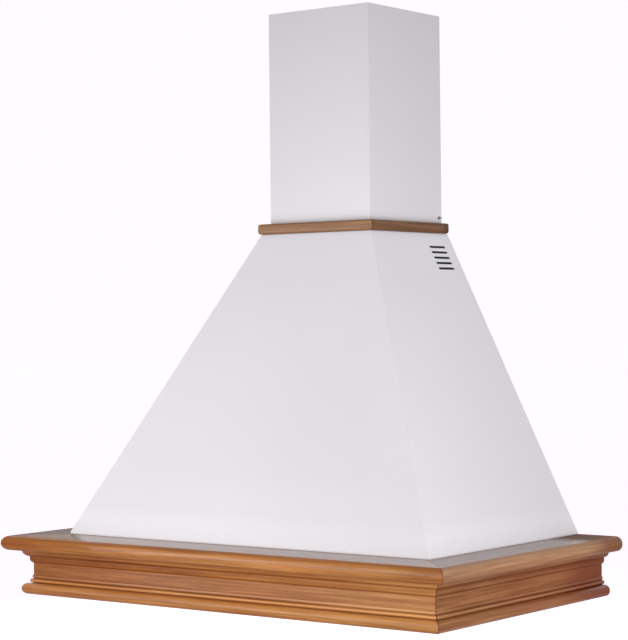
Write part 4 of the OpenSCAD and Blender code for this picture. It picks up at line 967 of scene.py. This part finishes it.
def sliderKnob(name, start):
    middle = controls["y"]
    cap = block(name, (start - knob["half"], middle - knob["deep"], knob["low"]),
                (start + knob["half"], middle + knob["deep"], knob["high"]))
    roundEdges(cap, edgesAlong(2, 0.002), knob["cornerRound"], 4)
    roundEdges(cap, edgesAt(2, knob["low"]), knob["round"], 4)
    carve(cap, [rod("cutter", (start + index * knob["grooveStep"], middle - knob["grooveHalf"], knob["low"]),
                    2 * knob["grooveHalf"], knob["grooveRadius"], "y", 16) for index in (-1, 0, 1)])
    # the stem starts a little inside the cap
    stem = block(name, (start - controls["stemHalf"], middle - knob["stemDeep"], knob["stemLow"]),
                 (start + controls["stemHalf"], middle + knob["stemDeep"], knob["stemTop"]))

    def onStem(a, b, edge):
        return abs(a.z - b.z) > 0.005 or min(a.z, b.z) > knob["stemTop"] - 1e-4

    roundEdges(stem, onStem, knob["stemRound"], 2)
    return smooth(join(name, [cap, stem]), 30)


for use in ("speed", "light"):
    slider = sliderKnob(use + "Knob", controls[use][0])
    fit(slider, knobBlack, use + "_slider", "knob_plastic", use + "_knob")

# plain numbers beside the two slides, printed on the plate's underside
marks = {"size": 0.0052, "row": -0.4535, "thick": 0.00008, "drop": 0.35}
numbers = []
for start, travel, steps in (controls["speed"], controls["light"]):
    for index in range(steps):
        unselect()
        bpy.ops.object.text_add(location=zero)
        number = bpy.context.object
        number.data.body = str(index)
        number.data.size = marks["size"]
        number.data.align_x = "CENTER"
        number.data.extrude = marks["thick"]
        bpy.ops.object.convert(target="MESH")
        number = bpy.context.object
        number.rotation_euler = (math.pi, 0, 0)
        number.location = (start + travel * index / (steps - 1), marks["row"] + marks["size"] * marks["drop"],
                           controls["low"])
        numbers.append(settle(number))
dialNumbers = join("dialNumbers", numbers)
fit(dialNumbers, knobBlack, "hood", "knob_plastic")


print("sheet, castings and small parts")
finishOf = {
    "white_enamel": whiteEnamel("panEnamel", (224, 222, 226)),
    "zinc_sheet": galvanised("zincSheet", (182, 185, 188), 130.0),
    "zinc_screws": screwZinc,
    "filter_aluminium": filterAluminium,
    "latch_plastic": mouldedPlastic("latchGrey", (84, 85, 88), 0.46),
    "spring_steel": brushedMetal("springSteel", (172, 173, 177), "y", 0.26),
    "lens_glass": frostedGlass("bulbGlass", (244, 246, 246), 0.08),
    "ceramic": mouldedPlastic("ceramicSocket", (230, 225, 212), 0.5, 500.0),
    "switch_plastic": mouldedPlastic("switchBlack", (44, 44, 47), 0.48),
    "fan_plastic": mouldedPlastic("fanNylon", (88, 90, 94), 0.46, 700.0),
    "motor_casing": castMetal("motorCasting", (160, 162, 166)),
    "rubber": mouldedPlastic("grommetRubber", (30, 30, 30), 0.72, 500.0),
    "damper_sheet": brushedMetal("flapAluminium", (190, 192, 195), "x", 0.38),
    "capacitor_can": mouldedPlastic("capacitorWhite", (222, 222, 218), 0.34),
    "gland_plastic": mouldedPlastic("glandGrey", (122, 122, 125), 0.5),
}
# how far each kept solid's edges are rounded, in tenths of a millimetre; 0 leaves them as bent or wound
rounding = {
    "underside_pan": 5, "back_panel": 3, "chimney_extension": 5, "chimney_lower_bracket": 4,
    "chimney_top_bracket": 4, "corner_braces": 3, "blower_bracket_left": 3, "blower_bracket_right": 3,
    "motor_bracket": 3, "wood_screws": 2, "scroll_screws": 2, "blower_screws": 2,
    "filter_frame_left": 4, "filter_frame_right": 4, "filter_latch_left": 6, "filter_latch_right": 6,
    "filter_spring_left": 0, "filter_spring_right": 0, "motor_shaft": 3, "lamp_bulbs": 0,
    "lamp_sockets": 6, "speed_switch": 6, "light_switch": 6, "terminal_box": 8, "terminal_box_lid": 6,
    "scroll_left": 5, "scroll_right": 5, "outlet_box": 5, "outlet_collar": 4, "impeller": 2,
    "motor": 10, "rubber_grommets": 4, "damper_flap_front": 2, "damper_flap_rear": 2, "capacitor": 6,
    "cable_gland": 3,
}
slotOf = {entry["node"]: entry["material_slot"] for entry in frame["record"]["subparts"]}
copying = {"merge": 1e-6, "flatDegrees": 1, "sharpDegrees": 32, "smoothDegrees": 34}


def roundedCopy(node, width):
    # a merged copy of a CAD solid, with its sharp edges broken
    source = frame["nodes"][node]
    words = node.split("_")
    activate(source)
    bpy.ops.object.duplicate(linked=False)
    piece = latest(words[0] + "".join(word.capitalize() for word in words[1:]) + "Part")
    bpy.ops.object.parent_clear(type="CLEAR_KEEP_TRANSFORM")
    body = source["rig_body"]
    # the copy drops the CAD node's own marks, and fit gives it new ones
    for key in [key for key in piece.keys() if key.startswith("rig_")]:
        del piece[key]
    editAll(piece, "FACE")
    bpy.ops.mesh.remove_doubles(threshold=copying["merge"])
    bpy.ops.mesh.dissolve_limited(angle_limit=math.radians(copying["flatDegrees"]))
    done()
    if width:
        modify(piece, "BEVEL", width=width, segments=2, limit_method="ANGLE",
               angle_limit=math.radians(copying["sharpDegrees"]))
    smooth(piece, copying["smoothDegrees"])
    # large flat faces keep their own direction beside the rounded edges
    modify(piece, "WEIGHTED_NORMAL", keep_sharp=True)
    return fit(piece, finishOf[slotOf[node]], body, slotOf[node], node)


kept = {node: roundedCopy(node, tenths * 1e-4) for node, tenths in rounding.items()}
# each latch spring gets a mesh of its own
for side in ("left", "right"):
    low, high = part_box("filter_spring_" + side)
    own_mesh(kept["filter_spring_" + side], "latch_" + side + "_slide", axis=(0, 1, 0),
              anchor=((low[0] + high[0]) / 2, high[1], (low[2] + high[2]) / 2), keep=0.28)


print("studio")
studio = {"floorLevel": -0.36, "floorSize": 60, "floorGlow": (1, 0.84, 1, 1), "glowStrength": 0.6,
          "worldColour": (1.0, 0.985, 1.0, 1), "worldStrength": 0.50,
          "backdropColour": (1.0, 0.975, 1.0, 1)}
lamps = {
    # name: place, target, size, watts
    "frontLight": ((-0.7, -1.6, 0.25), (0, -0.4, 0.3), 0.9, 10.6),
    "rightLight": ((1.35, -0.95, 0.25), (0.2, -0.3, 0.3), 0.9, 6.6),
    "sideLight": ((2.0, -0.6, -0.1), (0, -0.3, 0.4), 1.4, 10.8),
    "rearLight": ((-2.2, 1.2, 0.9), (0, -0.2, 0.4), 1.4, 14.0),
}
unselect()
bpy.ops.mesh.primitive_plane_add(size=studio["floorSize"], location=(0, 0, studio["floorLevel"]))
floor = settle(latest("floor"))
# the floor keeps the hood's shadow, shows white to the camera, and can be looked through from below
paper = Finish("floorPaper", 0.9)
mottle = paper.noise(paper.place, 1.5, 2.0)
paper.drive("Base Color", paper.mix(mottle, (0.88, 0.86, 0.88), (0.9, 0.88, 0.9)))
seen = paper.add("LightPath", {}, {}, "Is Camera Ray")
glow = paper.add("Emission", {}, {"Color": studio["floorGlow"], "Strength": studio["glowStrength"] * seen})
shine = Wire(paper, paper.shader.outputs[0])
both = paper.add("AddShader", {}, {0: shine, 1: glow})
under = paper.add("NewGeometry", {}, {}, "Backfacing")
clear = paper.add("BsdfTransparent", {}, {})
sheet = paper.add("MixShader", {}, {0: under, 1: both, 2: clear})
paper.tree.links.new(sheet.socket, paper.tree.nodes["Material Output"].inputs["Surface"])
floor.data.materials.append(paper.material)

world = bpy.data.worlds.new("studioWorld")
bpy.context.scene.world = world
world.use_nodes = True
sky = Graph(world.node_tree)
sky.tree.nodes.clear()
# the camera, glass and gloss see the white backdrop, and all else gets the dimmer light
rays = sky.add("LightPath", {}, {})
seen = rays.part("Is Camera Ray")
for kind in ("Is Glossy Ray", "Is Transmission Ray"):
    seen = seen.combine("MAXIMUM", rays.part(kind))
dim = sky.add("Background", {}, {"Color": studio["worldColour"], "Strength": studio["worldStrength"]})
bright = sky.add("Background", {}, {"Color": studio["backdropColour"], "Strength": 1.0})
blend = sky.add("MixShader", {}, {0: seen, 1: dim, 2: bright})
result = sky.tree.nodes.new("ShaderNodeOutputWorld")
sky.tree.links.new(blend.socket, result.inputs["Surface"])

for name, (place, target, size, watts) in lamps.items():
    unselect()
    bpy.ops.object.light_add(type="AREA", location=place)
    light = latest(name)
    light.data.shape = "SQUARE"
    light.data.size = size
    light.data.energy = watts
    light.rotation_euler = (Vector(target) - Vector(place)).to_track_quat("-Z", "Y").to_euler()

# the camera as fitted to the photograph: degrees, metres and pixels
photo = {"azimuth": 37.2408, "elevation": -0.0979, "roll": -0.6255, "distance": 3.70996,
         "target": (-0.03732, -0.200, 0.48570), "focalPixels": 2058.32, "height": 640, "sensor": 36,
         "clipEnd": 100}
azimuth, elevation, roll = (math.radians(photo[key]) for key in ("azimuth", "elevation", "roll"))
backward = Vector((math.sin(azimuth) * math.cos(elevation), -math.cos(azimuth) * math.cos(elevation),
                   math.sin(elevation)))
rightward = (-backward).cross(Vector((0, 0, 1))).normalized()
upward = rightward.cross(-backward)
tiltedRight = rightward * math.cos(roll) + upward * math.sin(roll)
tiltedUp = upward * math.cos(roll) - rightward * math.sin(roll)
camera = bpy.data.objects.new("camera", bpy.data.cameras.new("camera"))
bpy.context.scene.collection.objects.link(camera)
camera.data.sensor_width = photo["sensor"]
camera.data.lens = photo["focalPixels"] * photo["sensor"] / photo["height"]
camera.data.clip_end = photo["clipEnd"]
turn = Matrix((tiltedRight, tiltedUp, backward)).transposed().to_4x4()
camera.matrix_world = Matrix.Translation(Vector(photo["target"]) + backward * photo["distance"]) @ turn
bpy.context.scene.camera = camera
bpy.context.scene.view_settings.view_transform = "Standard"

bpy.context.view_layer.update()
unselect()
